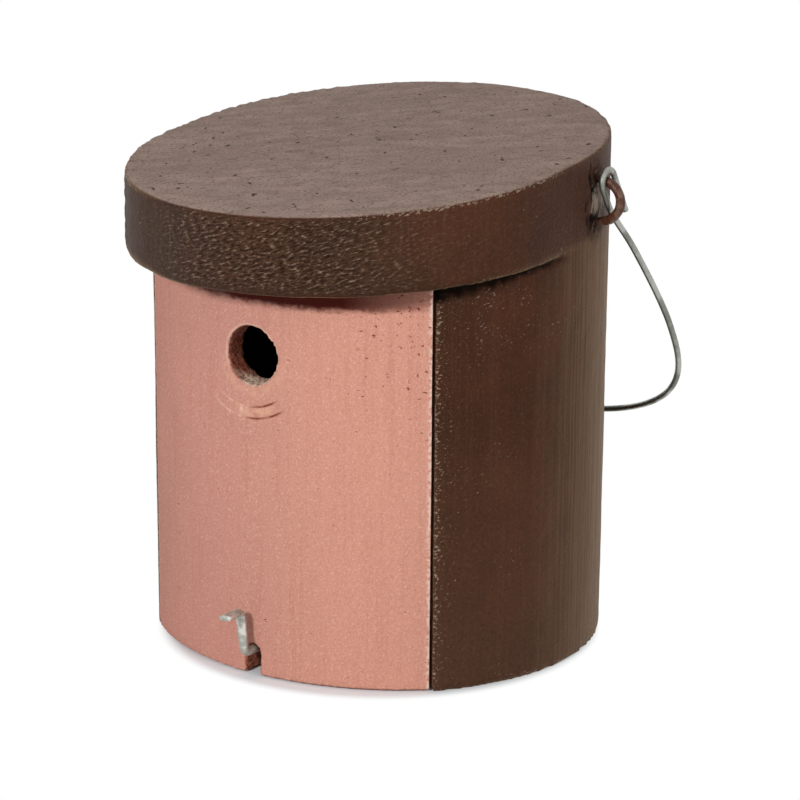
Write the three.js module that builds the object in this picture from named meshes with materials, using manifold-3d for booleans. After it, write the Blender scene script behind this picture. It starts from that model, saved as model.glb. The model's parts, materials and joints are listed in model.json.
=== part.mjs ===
// A nest box for small birds, cast in wood-concrete: a round body left open at the front, a
// sloping roof slab that overhangs it, a removable keystone front panel with the entrance hole,
// a turning hook that holds the panel in, and a wire bail in two staples to hang the box by.
// Millimetres, +Z up. The front faces -Y. The origin is the centre of the base's underside.

import * as THREE from "three";
import { mergeVertices } from "three/addons/utils/BufferGeometryUtils.js";
import Module from "manifold-3d";

const wasm = await Module();
wasm.setup();

// Body and roof
const BODY_RADIUS = 108;
const WALL = 14;
const FLOOR = 20;
const HEIGHT = 237.3; // top of the roof over the body's axis
const ROOF_THICKNESS = 40.6; // on the body's axis
const ROOF_TOP_FALL = 6.7; // degrees, down towards the front
const ROOF_UNDERSIDE_FALL = 4.6; // degrees, down towards the front
const ROOF_OVERHANG = 20; // past the body's outline, at the front only
const ROOF_ARRIS = 2.5; // rounding of the roof's top edge
const CEILING_RECESS = 5; // how far the ceiling is sunk above the roof's rim
const BED = 0.3; // mortar bed between the wall and the roof
const CAST_ARRIS = 2; // rounding of the cast vertical corners

// Front opening and the keystone panel that closes it
const OPENING_HALF_ANGLE = 47.75; // degrees, seen from the body's axis
const PANEL_GAP = 1.6; // between the panel's side faces and the wall, at the outside
const PANEL_THICKNESS = 12;
const PANEL_SETBACK = 5; // panel's face behind the body's outline, at the middle
const PANEL_FLATTENING = 17.5; // how far behind the body's axis the panel's arc is centred
const PANEL_FOOT_GAP = 1; // panel's lower edge above the ground
const PANEL_REBATE = 3.5; // how far the panel's top reaches up behind the roof's lip
const LIP_CLEARANCE = 1.2; // between the panel's face and the roof's lip
const FLOOR_CLEARANCE = 0.8; // between the panel's back and the floor's front edge
const HOLE_DIAMETER = 28;
const HOLE_DROP = 35.9; // centre of the hole below the roof's rim
const DRAINS = 3; // evenly spaced, one of them at the back
const DRAIN_DIAMETER = 8;
const DRAIN_CIRCLE = 45; // radius on which the drain holes lie

// Turning hook, in a wall plug cast into the floor's front edge
const HOOK_HEIGHT = 12.8;
const HOOK_ROD = 4;
const HOOK_GRIP = 32; // length of the shaft inside the plug
const HOOK_STANDOFF = 4; // clear space between the panel's face and the hook's arm
const HOOK_ARM = 19.8; // shaft's centreline to the tab's centreline
const HOOK_BEND = 3;
const HOOK_REST_TURN = -6.5; // degrees about the shaft, as the hook was last left
const TAB_REACH = 11.8; // arm's centreline to the tab's cut end
const TAB_WIDTH = 6.5;
const TAB_THICKNESS = 2.4;
const TAB_CORNER = 1; // rounding of the tab's cut corners
const NOTCH_WIDTH = 8.5;
const NOTCH_HEADROOM = 0.9; // over the shaft
const PLUG_DIAMETER = 8;
const PLUG_LENGTH = 38;
const PLUG_SLIT = 1.2; // width of the cross slit at the plug's inner end
const PLUG_SLIT_LENGTH = 16;
const PLUG_CLEARANCE = 0.3; // plug in the floor's bore
const SHAFT_CLEARANCE = 0.2; // shaft in the plug

// Staples and bail
const STAPLE_ROD = 4.4;
const STAPLE_Y = 22; // behind the body's axis
const STAPLE_DEPTH = 14.6; // upper leg's centreline below the roof's top
const STAPLE_SPREAD = 18.3; // between the legs' centrelines, where the bail's loop sits
const STAPLE_SPLAY = 0.28; // slope of the legs, which part towards the slab
const STAPLE_BULGE = 7.5; // how far the outer bend stands past the bail's loop
const STAPLE_SEAT = 9; // length of each leg inside the slab
const STAPLE_FOOT = 5.5; // inner ends, turned towards each other
const STAPLE_FOOT_BEND = 3.3;
const STAPLE_CLEARANCE = 0.3;
const BAIL_ROD = 3;
const BAIL_REACH = 163.5; // staple's upper leg to the crossbar
const BAIL_SHOULDER = 90; // staple's upper leg to where the corners start
const BAIL_STANDOFF = 11; // side runs outside the body's outline, at the shoulder
const BAIL_NECK_STANDOFF = 3.5; // side runs outside the body's outline, below the loops
const BAIL_NECK = 30; // staple's upper leg to where the wire reaches the middle plane
const BAIL_SQUARENESS = 2.8; // exponent of the superellipse that the corners follow
const LOOP_RADIUS = 5.5; // centreline
const LOOP_SHIFT = 0.9; // loop's centre behind the staple's leg
const LOOP_STRAIGHT = 11; // straight stretch under the loop's front side
const LOOP_TAIL = 23.5; // staple's upper leg to the cut end
const LOOP_SIDE_CLEARANCE = 0.4; // loop beside the body
const LOOP_SEAT_CLEARANCE = 0.3; // loop on the staple's upper leg
const BAIL_REST_CLEARANCE = 0.5; // crossbar off the back of the wall

const CIRCLE_SIDES = 32; // facets on the entrance hole, drains and bores
const ROD_SIDES = 10;
const LOOP_STEPS = 10; // facets along the bail's end loop, which is half a turn
const CORNER_STEPS = 12; // facets along half of the bail's outer end
const CURVE_STEPS = 6; // facets along each free curve of the wire
const ARC_SEGMENTS = 22; // each cast arc is cut into twice as many facets
const FAR = 4 * (BODY_RADIUS + HEIGHT); // past everything, for cutting volumes

const topSlope = Math.tan(THREE.MathUtils.degToRad(ROOF_TOP_FALL));
const undersideSlope = Math.tan(THREE.MathUtils.degToRad(ROOF_UNDERSIDE_FALL));
const rimHeight = HEIGHT - ROOF_THICKNESS; // roof's underside on the body's axis
const panelRadius = BODY_RADIUS - PANEL_SETBACK + PANEL_FLATTENING;
const panelFront = -(BODY_RADIUS - PANEL_SETBACK);
const openingAngle = THREE.MathUtils.degToRad(OPENING_HALF_ANGLE);
const panelAngle = openingAngle - PANEL_GAP / BODY_RADIUS;
const floorRadius = panelRadius - PANEL_THICKNESS - FLOOR_CLEARANCE;
const floorFront = PANEL_FLATTENING - floorRadius;
const holeHeight = rimHeight + panelFront * undersideSlope - HOLE_DROP;
const stapleHeight = HEIGHT + STAPLE_Y * topSlope - STAPLE_DEPTH;
const loopX = BODY_RADIUS + BAIL_ROD / 2 + LOOP_SIDE_CLEARANCE;

// Solids -----------------------------------------------------------------------------------

function solidFrom(geometry) {
  const bare = geometry.clone();
  bare.deleteAttribute("normal");
  bare.deleteAttribute("uv");
  const merged = mergeVertices(bare, 1e-4);
  return new wasm.Manifold(
    new wasm.Mesh({
      numProp: 3,
      vertProperties: merged.attributes.position.array,
      triVerts: new Uint32Array(merged.index.array),
    }),
  );
}

function meshFrom(name, solid, material) {
  const { vertProperties, triVerts } = solid.getMesh();
  const indexed = new THREE.BufferGeometry();
  indexed.setAttribute("position", new THREE.BufferAttribute(vertProperties, 3));
  indexed.setIndex(new THREE.BufferAttribute(triVerts, 1));
  const geometry = indexed.toNonIndexed();
  geometry.computeVertexNormals();
  const mesh = new THREE.Mesh(geometry, material);
  mesh.name = name;
  return mesh;
}

// A prism on an outline in plan. Its two ends slope with y, and meet the axis at low and high.
function prism(outline, low, high, slope = 0, bevel = {}) {
  const geometry = new THREE.ExtrudeGeometry(outline, {
    depth: high - low,
    curveSegments: ARC_SEGMENTS,
    bevelEnabled: false,
    ...bevel,
  });
  geometry.translate(0, 0, low);
  geometry.applyMatrix4(new THREE.Matrix4().makeShear(0, 0, 0, slope, 0, 0));
  return solidFrom(geometry);
}

function roundBar(radius, length) {
  return new THREE.CylinderGeometry(radius, radius, length, CIRCLE_SIDES);
}

// A round bar along Y from yFront to yBack.
function barAlongY(radius, yFront, yBack, x, z) {
  const geometry = roundBar(radius, yBack - yFront);
  geometry.translate(x, (yFront + yBack) / 2, z);
  return geometry;
}

// Everything above a plane that slopes with y and meets the axis at height.
function above(height, slope) {
  const outline = new THREE.Shape();
  outline.absarc(0, 0, 2 * BODY_RADIUS, 0, 2 * Math.PI, false);
  return prism(outline, height, height + FAR, slope);
}

// A bent rod: a path that gives an extrusion one ring of facets at each of its points.
class BentRod extends THREE.Curve {
  constructor(points) {
    super();
    this.points = points;
  }

  getPoint(t) {
    return this.points[Math.round(t * (this.points.length - 1))].clone();
  }

  getPointAt(u) {
    return this.getPoint(u);
  }

  getTangent(t) {
    const last = this.points.length - 1;
    const here = Math.round(t * last);
    const tangent = new THREE.Vector3();
    if (here > 0) {
      tangent.add(this.points[here].clone().sub(this.points[here - 1]).normalize());
    }
    if (here < last) {
      tangent.add(this.points[here + 1].clone().sub(this.points[here]).normalize());
    }
    return tangent.normalize();
  }

  getTangentAt(u) {
    return this.getTangent(u);
  }
}

function rod(points, radius) {
  const section = new THREE.Shape();
  for (let side = 0; side < ROD_SIDES; side += 1) {
    const angle = (2 * Math.PI * side) / ROD_SIDES;
    const corner = [radius * Math.cos(angle), radius * Math.sin(angle)];
    if (side === 0) {
      section.moveTo(...corner);
    } else {
      section.lineTo(...corner);
    }
  }
  const geometry = new THREE.ExtrudeGeometry(section, {
    steps: points.length - 1,
    extrudePath: new BentRod(points),
  });
  return solidFrom(geometry);
}

// The points of a circular bend between two straight stretches that meet at a corner.
function bendPoints(before, corner, after, radius, count = 5) {
  const back = before.clone().sub(corner).normalize();
  const ahead = after.clone().sub(corner).normalize();
  const half = back.angleTo(ahead) / 2;
  const centre = back.clone().add(ahead).normalize();
  centre.multiplyScalar(radius / Math.sin(half)).add(corner);
  const start = corner.clone().addScaledVector(back, radius / Math.tan(half)).sub(centre);
  const axis = back.clone().cross(start).normalize();
  const turn = Math.PI - 2 * half;
  return Array.from({ length: count }, (_, step) =>
    start.clone().applyAxisAngle(axis, (turn * step) / (count - 1)).add(centre),
  );
}

// Outlines in plan -------------------------------------------------------------------------

// Where a ray from the body's axis, at an angle from the front, meets the circle of the given
// radius about a centre that lies behind the axis.
function onCircle(angle, radius, centreY) {
  const along = centreY * Math.cos(angle);
  const reach = Math.sqrt(along ** 2 - centreY ** 2 + radius ** 2) - along;
  return new THREE.Vector2(reach * Math.sin(angle), -reach * Math.cos(angle));
}

// The angle of that point about the circle's own centre, as absarc counts it.
function ownAngle(point, centreY) {
  return Math.atan2(point.y - centreY, point.x);
}

// A ring segment symmetrical about the front, with radial side faces and rounded corners.
function keystone(halfAngle, inner, outer, centreY) {
  const outerCorner = onCircle(halfAngle, outer, centreY);
  const innerCorner = onCircle(halfAngle, inner, centreY);
  const side = innerCorner.clone().sub(outerCorner).normalize();
  const outerSide = outerCorner.clone().addScaledVector(side, CAST_ARRIS);
  const innerSide = innerCorner.clone().addScaledVector(side, -CAST_ARRIS);
  const outerEnd = ownAngle(outerCorner, centreY) - CAST_ARRIS / outer;
  const innerEnd = ownAngle(innerCorner, centreY) - CAST_ARRIS / inner;
  const innerStart = onOwnCircle(innerEnd, inner, centreY);
  const outerStart = onOwnCircle(-Math.PI - outerEnd, outer, centreY);
  const outline = new THREE.Shape();
  outline.absarc(0, centreY, outer, -Math.PI - outerEnd, outerEnd, false);
  outline.quadraticCurveTo(outerCorner.x, outerCorner.y, outerSide.x, outerSide.y);
  outline.lineTo(innerSide.x, innerSide.y);
  outline.quadraticCurveTo(innerCorner.x, innerCorner.y, innerStart.x, innerStart.y);
  outline.absarc(0, centreY, inner, innerEnd, -Math.PI - innerEnd, true);
  outline.quadraticCurveTo(-innerCorner.x, innerCorner.y, -innerSide.x, innerSide.y);
  outline.lineTo(-outerSide.x, outerSide.y);
  outline.quadraticCurveTo(-outerCorner.x, outerCorner.y, outerStart.x, outerStart.y);
  return outline;
}

function onOwnCircle(angle, radius, centreY) {
  return new THREE.Vector2(radius * Math.cos(angle), centreY + radius * Math.sin(angle));
}

// The wall in plan: a ring from one side of the front opening round the back to the other.
function wallOutline() {
  const inner = BODY_RADIUS - WALL;
  const outerEnd = openingAngle + CAST_ARRIS / BODY_RADIUS;
  const innerEnd = openingAngle + CAST_ARRIS / inner;
  const corner = (radius) => onCircle(openingAngle, radius, 0);
  const outerSide = corner(BODY_RADIUS - CAST_ARRIS);
  const innerSide = corner(inner + CAST_ARRIS);
  const innerStart = onCircle(innerEnd, inner, 0);
  const outerStart = onCircle(outerEnd, BODY_RADIUS, 0);
  const front = -Math.PI / 2;
  const outline = new THREE.Shape();
  outline.absarc(0, 0, BODY_RADIUS, front + outerEnd, front - outerEnd + 2 * Math.PI, false);
  outline.quadraticCurveTo(-corner(BODY_RADIUS).x, corner(BODY_RADIUS).y, -outerSide.x, outerSide.y);
  outline.lineTo(-innerSide.x, innerSide.y);
  outline.quadraticCurveTo(-corner(inner).x, corner(inner).y, -innerStart.x, innerStart.y);
  outline.absarc(0, 0, inner, front - innerEnd + 2 * Math.PI, front + innerEnd, true);
  outline.quadraticCurveTo(corner(inner).x, corner(inner).y, innerSide.x, innerSide.y);
  outline.lineTo(outerSide.x, outerSide.y);
  outline.quadraticCurveTo(corner(BODY_RADIUS).x, corner(BODY_RADIUS).y, outerStart.x, outerStart.y);
  return outline;
}

function disc(radius, centreY = 0) {
  const outline = new THREE.Shape();
  outline.absarc(0, centreY, radius, 0, 2 * Math.PI, false);
  return outline;
}

// The roof in plan: the body's circle, carried forward by the overhang.
function roofOutline() {
  const outline = new THREE.Shape();
  outline.moveTo(BODY_RADIUS, -ROOF_OVERHANG);
  outline.lineTo(BODY_RADIUS, 0);
  outline.absarc(0, 0, BODY_RADIUS, 0, Math.PI, false);
  outline.lineTo(-BODY_RADIUS, -ROOF_OVERHANG);
  outline.absarc(0, -ROOF_OVERHANG, BODY_RADIUS, Math.PI, 2 * Math.PI, false);
  return outline;
}

// The sector of the ceiling recess that takes the panel's top, out to the back of the lip.
function lipOutline() {
  const lipRadius = panelRadius + LIP_CLEARANCE;
  const end = onCircle(openingAngle, lipRadius, PANEL_FLATTENING);
  const endAngle = ownAngle(end, PANEL_FLATTENING);
  const outline = new THREE.Shape();
  outline.moveTo(0, 0);
  outline.lineTo(-end.x, end.y);
  outline.absarc(0, PANEL_FLATTENING, lipRadius, -Math.PI - endAngle, endAngle, false);
  outline.lineTo(0, 0);
  return outline;
}

// Cast pieces ------------------------------------------------------------------------------

function bodyShell() {
  const floor = prism(disc(BODY_RADIUS - WALL / 2), 0, FLOOR).intersect(
    prism(disc(floorRadius, PANEL_FLATTENING), 0, FLOOR),
  );
  let shell = prism(wallOutline(), 0, HEIGHT)
    .add(floor)
    .subtract(above(rimHeight - BED, undersideSlope));
  for (let hole = 0; hole < DRAINS; hole += 1) {
    const angle = Math.PI / 2 + (2 * Math.PI * hole) / DRAINS;
    const drain = roundBar(DRAIN_DIAMETER / 2, 3 * FLOOR);
    drain.rotateX(Math.PI / 2);
    drain.translate(DRAIN_CIRCLE * Math.cos(angle), DRAIN_CIRCLE * Math.sin(angle), 0);
    shell = shell.subtract(solidFrom(drain));
  }
  const bore = barAlongY(
    PLUG_DIAMETER / 2 + PLUG_CLEARANCE,
    floorFront - WALL,
    floorFront + PLUG_LENGTH + PLUG_CLEARANCE,
    0,
    HOOK_HEIGHT,
  );
  return shell.subtract(solidFrom(bore));
}

function roof() {
  const slab = prism(roofOutline(), rimHeight - ROOF_THICKNESS, HEIGHT - ROOF_ARRIS, topSlope, {
    bevelEnabled: true,
    bevelThickness: ROOF_ARRIS,
    bevelSize: ROOF_ARRIS,
    bevelOffset: -ROOF_ARRIS,
    bevelSegments: 4,
  });
  const ceiling = rimHeight + CEILING_RECESS;
  const below = prism(disc(2 * BODY_RADIUS), rimHeight - FAR, rimHeight, undersideSlope);
  const chamber = prism(disc(BODY_RADIUS - WALL), rimHeight - WALL, ceiling, undersideSlope);
  const lip = prism(lipOutline(), rimHeight - WALL, ceiling, undersideSlope);
  const radius = STAPLE_ROD / 2 + STAPLE_CLEARANCE;
  return slab
    .subtract(below)
    .subtract(chamber.add(lip))
    .subtract(rod(staplePath(1, STAPLE_CLEARANCE), radius))
    .subtract(rod(staplePath(-1, STAPLE_CLEARANCE), radius));
}

function frontPanel() {
  const inner = panelRadius - PANEL_THICKNESS;
  const slab = prism(
    keystone(panelAngle, inner, panelRadius, PANEL_FLATTENING),
    PANEL_FOOT_GAP,
    HEIGHT,
  );
  const hole = barAlongY(HOLE_DIAMETER / 2, 2 * panelFront, 0, 0, holeHeight);
  return slab
    .subtract(above(rimHeight + PANEL_REBATE, undersideSlope))
    .subtract(solidFrom(hole))
    .subtract(notch());
}

// The arched notch in the panel's lower edge that lets the hook's shaft out.
function notch() {
  const radius = NOTCH_WIDTH / 2;
  const crown = HOOK_HEIGHT + HOOK_ROD / 2 + NOTCH_HEADROOM - radius;
  const outline = new THREE.Shape();
  outline.moveTo(-radius, -FLOOR);
  outline.lineTo(radius, -FLOOR);
  outline.absarc(0, crown, radius, 0, Math.PI, false);
  const geometry = new THREE.ExtrudeGeometry(outline, {
    depth: BODY_RADIUS,
    curveSegments: 6,
    bevelEnabled: false,
  });
  geometry.rotateX(Math.PI / 2);
  geometry.translate(0, panelFront + BODY_RADIUS / 2, 0);
  return solidFrom(geometry);
}

// Turning hook and its plug, on the axis of the shaft ---------------------------------------

const armY = panelFront - HOOK_STANDOFF - HOOK_ROD / 2;

function turnHook() {
  const shaftEnd = new THREE.Vector3(0, floorFront + HOOK_GRIP, 0);
  const elbow = new THREE.Vector3(0, armY, 0);
  const top = new THREE.Vector3(0, armY, HOOK_ARM);
  const tip = new THREE.Vector3(0, armY - TAB_REACH, HOOK_ARM);
  const tabStart = new THREE.Vector3(0, armY - HOOK_BEND, HOOK_ARM);
  const bent = rod(
    [
      shaftEnd,
      ...bendPoints(shaftEnd, elbow, top, HOOK_BEND),
      ...bendPoints(elbow, top, tip, HOOK_BEND),
      tabStart.clone().add(new THREE.Vector3(0, -TAB_THICKNESS / 2, 0)),
    ],
    HOOK_ROD / 2,
  );
  return bent.add(thumbTab());
}

// The end of the rod, hammered flat and wider, and cut off square.
function thumbTab() {
  const half = TAB_WIDTH / 2;
  const rootHalf = HOOK_ROD / 2;
  const root = armY - HOOK_BEND / 2;
  const shoulder = root - TAB_WIDTH / 2;
  const tip = armY - TAB_REACH;
  const outline = new THREE.Shape();
  outline.moveTo(rootHalf, root);
  outline.lineTo(-rootHalf, root);
  outline.quadraticCurveTo(-rootHalf, shoulder, -half, shoulder);
  outline.lineTo(-half, tip + TAB_CORNER);
  outline.quadraticCurveTo(-half, tip, TAB_CORNER - half, tip);
  outline.lineTo(half - TAB_CORNER, tip);
  outline.quadraticCurveTo(half, tip, half, tip + TAB_CORNER);
  outline.lineTo(half, shoulder);
  outline.quadraticCurveTo(rootHalf, shoulder, rootHalf, root);
  const geometry = new THREE.ExtrudeGeometry(outline, {
    depth: TAB_THICKNESS,
    curveSegments: 4,
    bevelEnabled: false,
  });
  geometry.translate(0, 0, HOOK_ARM - TAB_THICKNESS / 2);
  return solidFrom(geometry);
}

function hookPlug() {
  const inner = floorFront + PLUG_LENGTH;
  const shaftRoom = HOOK_GRIP + SHAFT_CLEARANCE;
  const sleeve = solidFrom(barAlongY(PLUG_DIAMETER / 2, floorFront, inner, 0, 0));
  const bore = barAlongY(
    HOOK_ROD / 2 + SHAFT_CLEARANCE,
    floorFront - PLUG_DIAMETER,
    floorFront + shaftRoom,
    0,
    0,
  );
  const slitDepth = 2 * PLUG_SLIT_LENGTH;
  const upright = new THREE.BoxGeometry(PLUG_SLIT, slitDepth, 2 * PLUG_DIAMETER);
  upright.translate(0, inner, 0);
  const level = new THREE.BoxGeometry(2 * PLUG_DIAMETER, slitDepth, PLUG_SLIT);
  level.translate(0, inner, 0);
  return sleeve
    .subtract(solidFrom(bore))
    .subtract(solidFrom(upright))
    .subtract(solidFrom(level));
}

// Staples and bail -------------------------------------------------------------------------

// A staple's centreline, from one turned-in foot to the other. Its side is 1 or -1.
function staplePath(side, extra = 0) {
  const surface = Math.sqrt(BODY_RADIUS ** 2 - STAPLE_Y ** 2);
  const footX = surface - STAPLE_SEAT;
  const middle = stapleHeight - STAPLE_SPREAD / 2;
  const half = (sign) => {
    const at = (x, rise) => new THREE.Vector3(side * x, STAPLE_Y, middle + sign * rise);
    const legRise = (x) => STAPLE_SPREAD / 2 + STAPLE_SPLAY * (loopX - x);
    const foot = at(footX, legRise(footX) - STAPLE_FOOT - extra);
    const seat = at(footX, legRise(footX));
    const loop = at(loopX, legRise(loopX));
    const ahead = loopX + STAPLE_BULGE / 2;
    const crown = loopX + STAPLE_BULGE;
    const bow = new THREE.CubicBezierCurve3(
      loop,
      at(ahead, legRise(ahead)),
      at(crown, STAPLE_SPREAD / 4),
      at(crown, 0),
    );
    return [foot, ...bendPoints(foot, seat, loop, STAPLE_FOOT_BEND), ...bow.getPoints(CURVE_STEPS)];
  };
  return [...half(1), ...half(-1).slice(0, -1).reverse()];
}

// Half of the bail's centreline, hanging straight down from the staple's upper leg: a loop
// round the leg, a joggle into the middle plane, the side run, and a corner of a superellipse.
function bailHalf() {
  const tilted = Math.hypot(1, STAPLE_SPLAY);
  const seat = (STAPLE_ROD / 2 + LOOP_SEAT_CLEARANCE + BAIL_ROD / 2) * tilted;
  const loopDrop = Math.sqrt((LOOP_RADIUS - seat) ** 2 - LOOP_SHIFT ** 2);
  const front = LOOP_SHIFT - LOOP_RADIUS;
  const neckX = BODY_RADIUS + BAIL_NECK_STANDOFF;
  const runX = BODY_RADIUS + BAIL_STANDOFF;
  const at = (x, y, down) => new THREE.Vector3(x, y, -down);
  const loop = Array.from({ length: LOOP_STEPS + 1 }, (_, step) => {
    const angle = (Math.PI * step) / LOOP_STEPS;
    return at(
      loopX,
      LOOP_SHIFT + LOOP_RADIUS * Math.cos(angle),
      loopDrop - LOOP_RADIUS * Math.sin(angle),
    );
  });
  const joggle = new THREE.CubicBezierCurve3(
    at(loopX, front, LOOP_STRAIGHT),
    at(loopX, front, (LOOP_STRAIGHT + BAIL_NECK) / 2),
    at(neckX, 0, (LOOP_STRAIGHT + BAIL_NECK) / 2),
    at(neckX, 0, BAIL_NECK),
  );
  const run = new THREE.QuadraticBezierCurve3(
    at(neckX, 0, BAIL_NECK),
    at(runX, 0, (BAIL_NECK + 2 * BAIL_SHOULDER) / 3),
    at(runX, 0, BAIL_SHOULDER),
  );
  const cornerDrop = BAIL_REACH - BAIL_SHOULDER;
  const corner = Array.from({ length: CORNER_STEPS }, (_, step) => {
    const angle = (Math.PI / 2) * ((step + 1) / CORNER_STEPS);
    return at(
      runX * Math.max(Math.cos(angle), 0) ** (2 / BAIL_SQUARENESS),
      0,
      BAIL_SHOULDER + cornerDrop * Math.sin(angle) ** (2 / BAIL_SQUARENESS),
    );
  });
  return [
    at(loopX, LOOP_SHIFT + LOOP_RADIUS, LOOP_TAIL),
    ...loop,
    ...joggle.getPoints(CURVE_STEPS),
    ...run.getPoints(CURVE_STEPS).slice(1),
    ...corner,
  ];
}

function hangerBail() {
  const right = bailHalf();
  const mirror = new THREE.Vector3(-1, 1, 1);
  const left = right.slice(0, -1).map((point) => point.clone().multiply(mirror));
  return rod([...right, ...left.reverse()], BAIL_ROD / 2);
}

// How far the bail leans back when its crossbar rests on the wall.
function bailLean() {
  const restY = BODY_RADIUS + BAIL_ROD / 2 + BAIL_REST_CLEARANCE;
  return Math.asin((restY - STAPLE_Y) / BAIL_REACH);
}

// Materials and assembly -------------------------------------------------------------------

const paintedConcrete = new THREE.MeshStandardMaterial({
  name: "brown_painted_wood_concrete",
  color: "#4d3023",
  roughness: 0.55,
  metalness: 0,
});
const roofConcrete = new THREE.MeshStandardMaterial({
  name: "weathered_brown_roof",
  color: "#7c685d",
  roughness: 0.85,
  metalness: 0,
});
const bareConcrete = new THREE.MeshStandardMaterial({
  name: "terracotta_wood_concrete",
  color: "#c98d7d",
  roughness: 0.95,
  metalness: 0,
});
const brightSteel = new THREE.MeshStandardMaterial({
  name: "bright_galvanised_steel",
  color: "#b9bab4",
  roughness: 0.3,
  metalness: 1,
});
const dullSteel = new THREE.MeshStandardMaterial({
  name: "dull_galvanised_steel",
  color: "#8f9186",
  roughness: 0.45,
  metalness: 1,
});
const paintedSteel = new THREE.MeshStandardMaterial({
  name: "painted_steel",
  color: "#4a2e22",
  roughness: 0.5,
  metalness: 0,
});
const greyPlastic = new THREE.MeshStandardMaterial({
  name: "grey_plug_plastic",
  color: "#8a8a88",
  roughness: 0.6,
  metalness: 0,
});

function assemble() {
  const nestBox = new THREE.Group();
  nestBox.add(meshFrom("body_shell", bodyShell(), paintedConcrete));
  nestBox.add(meshFrom("roof", roof(), roofConcrete));
  nestBox.add(meshFrom("front_panel", frontPanel(), bareConcrete));
  const right = rod(staplePath(1), STAPLE_ROD / 2);
  nestBox.add(meshFrom("staple_right", right, paintedSteel));
  const left = rod(staplePath(-1), STAPLE_ROD / 2);
  nestBox.add(meshFrom("staple_left", left, paintedSteel));

  const hookAxis = new THREE.Group();
  hookAxis.position.z = HOOK_HEIGHT;
  hookAxis.add(meshFrom("hook_plug", hookPlug(), greyPlastic));
  const hook = meshFrom("turn_hook", turnHook(), brightSteel);
  hook.rotation.y = THREE.MathUtils.degToRad(HOOK_REST_TURN);
  hookAxis.add(hook);
  nestBox.add(hookAxis);

  const bailAxis = new THREE.Group();
  bailAxis.position.set(0, STAPLE_Y, stapleHeight);
  bailAxis.rotation.x = bailLean();
  bailAxis.add(meshFrom("hanger_bail", hangerBail(), dullSteel));
  nestBox.add(bailAxis);
  return nestBox;
}

export default assemble();
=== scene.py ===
import json
import math

import bmesh
import bpy
from bpy.props import FloatProperty, FloatVectorProperty, PointerProperty
from mathutils import Matrix, Vector, noise


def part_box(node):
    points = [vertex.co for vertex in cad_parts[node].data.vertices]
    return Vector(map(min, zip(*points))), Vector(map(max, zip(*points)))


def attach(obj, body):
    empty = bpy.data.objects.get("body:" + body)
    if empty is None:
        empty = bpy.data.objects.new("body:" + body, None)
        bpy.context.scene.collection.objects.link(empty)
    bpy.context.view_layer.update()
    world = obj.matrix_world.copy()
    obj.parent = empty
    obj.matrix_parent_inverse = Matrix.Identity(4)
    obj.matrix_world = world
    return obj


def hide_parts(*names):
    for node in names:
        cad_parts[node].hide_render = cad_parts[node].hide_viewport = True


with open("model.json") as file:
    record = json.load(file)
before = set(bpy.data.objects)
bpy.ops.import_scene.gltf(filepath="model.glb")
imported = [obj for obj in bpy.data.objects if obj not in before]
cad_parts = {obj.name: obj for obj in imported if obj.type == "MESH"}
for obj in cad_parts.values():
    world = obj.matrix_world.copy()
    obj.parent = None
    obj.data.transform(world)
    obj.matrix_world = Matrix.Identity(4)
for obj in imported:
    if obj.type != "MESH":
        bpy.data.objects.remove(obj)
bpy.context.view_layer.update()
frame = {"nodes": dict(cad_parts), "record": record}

bl_info = {
    "name": "Wood-concrete nest box",
    "version": (1, 0, 0),
    "blender": (4, 5, 0),
    "location": "3D View > Sidebar > Nest box",
    "description": "Models a cast nest box with its front panel, turning hook, staples and bail",
    "category": "Add Mesh",
}

BODY_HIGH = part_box("body_shell")[1]
PANEL_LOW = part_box("front_panel")[0]
JOINTS = frame["record"]["behaviour"]["joints"]
JOINT_POINT = {joint["name"]: Vector(joint["pos_m"]) for joint in JOINTS}
BAIL_AXIS = JOINT_POINT["bail_swing"]
HOOK_AXIS = JOINT_POINT["hook_turn"]

ROUND = 192  # sides of the large cast circles
BAR = 48  # sides of small round cutters
TURN = 2 * math.pi
FAR = 1.0  # metres, past the whole object
LAMP_DISTANCE = 1.6  # metres
FRONT_BOX = (2, 24, 0.22)  # soft box: degrees round and up, and metres across
SIDE_BOX = (75, 20, 1.0)
BOX_MIDDLE = (0, 0, 0.12)  # metres, what the lamps face
CAMERA_TARGET = (0.008, 0.0054, 0.1096)  # metres, what the camera looks at
PAPER = (0.88, 0.92, 0.95, 1)  # linear colour of the floor
SHADOW_SHIFT = (0.0045, -0.0066, 0)  # metres, the shadow's middle from the body's axis

BRUSH_TURN = math.radians(36)  # direction in plan in which the roof was brushed
ARC_CENTRE = (-1.6, 4.4)  # mm, across and up from the entrance's centre
SCORED_ARCS = ((28.3, 1.5, 15), (33.6, -1.5, 19))  # mm: radius, and where the groove runs across
CRUMB = (-5.3, -25.3)  # mm, a grain of pale grit between the arcs, from the entrance's centre
STAPLE_SPLAY = 0.28  # slope of a staple's legs, which part towards the wall
LOOP_SEAT_GAP = 0.0003  # metres, between the bail's loop and the staple's leg that it sits on
LOOP_SIDE_GAP = 0.0004  # metres, between the bail's loop and the wall
BAIL_REST_GAP = 0.0005  # metres, between the crossbar and the back of the wall


def mm(value):
    return value * 0.001


def linear(code):
    """An sRGB hex colour as linear RGBA."""
    channels = [int(code[i : i + 2], 16) / 255 for i in (1, 3, 5)]
    return [c / 12.92 if c <= 0.04045 else ((c + 0.055) / 1.055) ** 2.4 for c in channels] + [1.0]


# Sizes, colours and stage --------------------------------------------------------------------


def length(name, description, default):
    return FloatProperty(name=name, description=description, default=default, unit="LENGTH", precision=4)


def angle(name, description, degrees):
    default = math.radians(degrees)
    return FloatProperty(name=name, description=description, default=default, unit="ROTATION")


def colour(name, description, code):
    return FloatVectorProperty(
        name=name, description=description, default=linear(code), size=4, subtype="COLOR", min=0, max=1
    )


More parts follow.
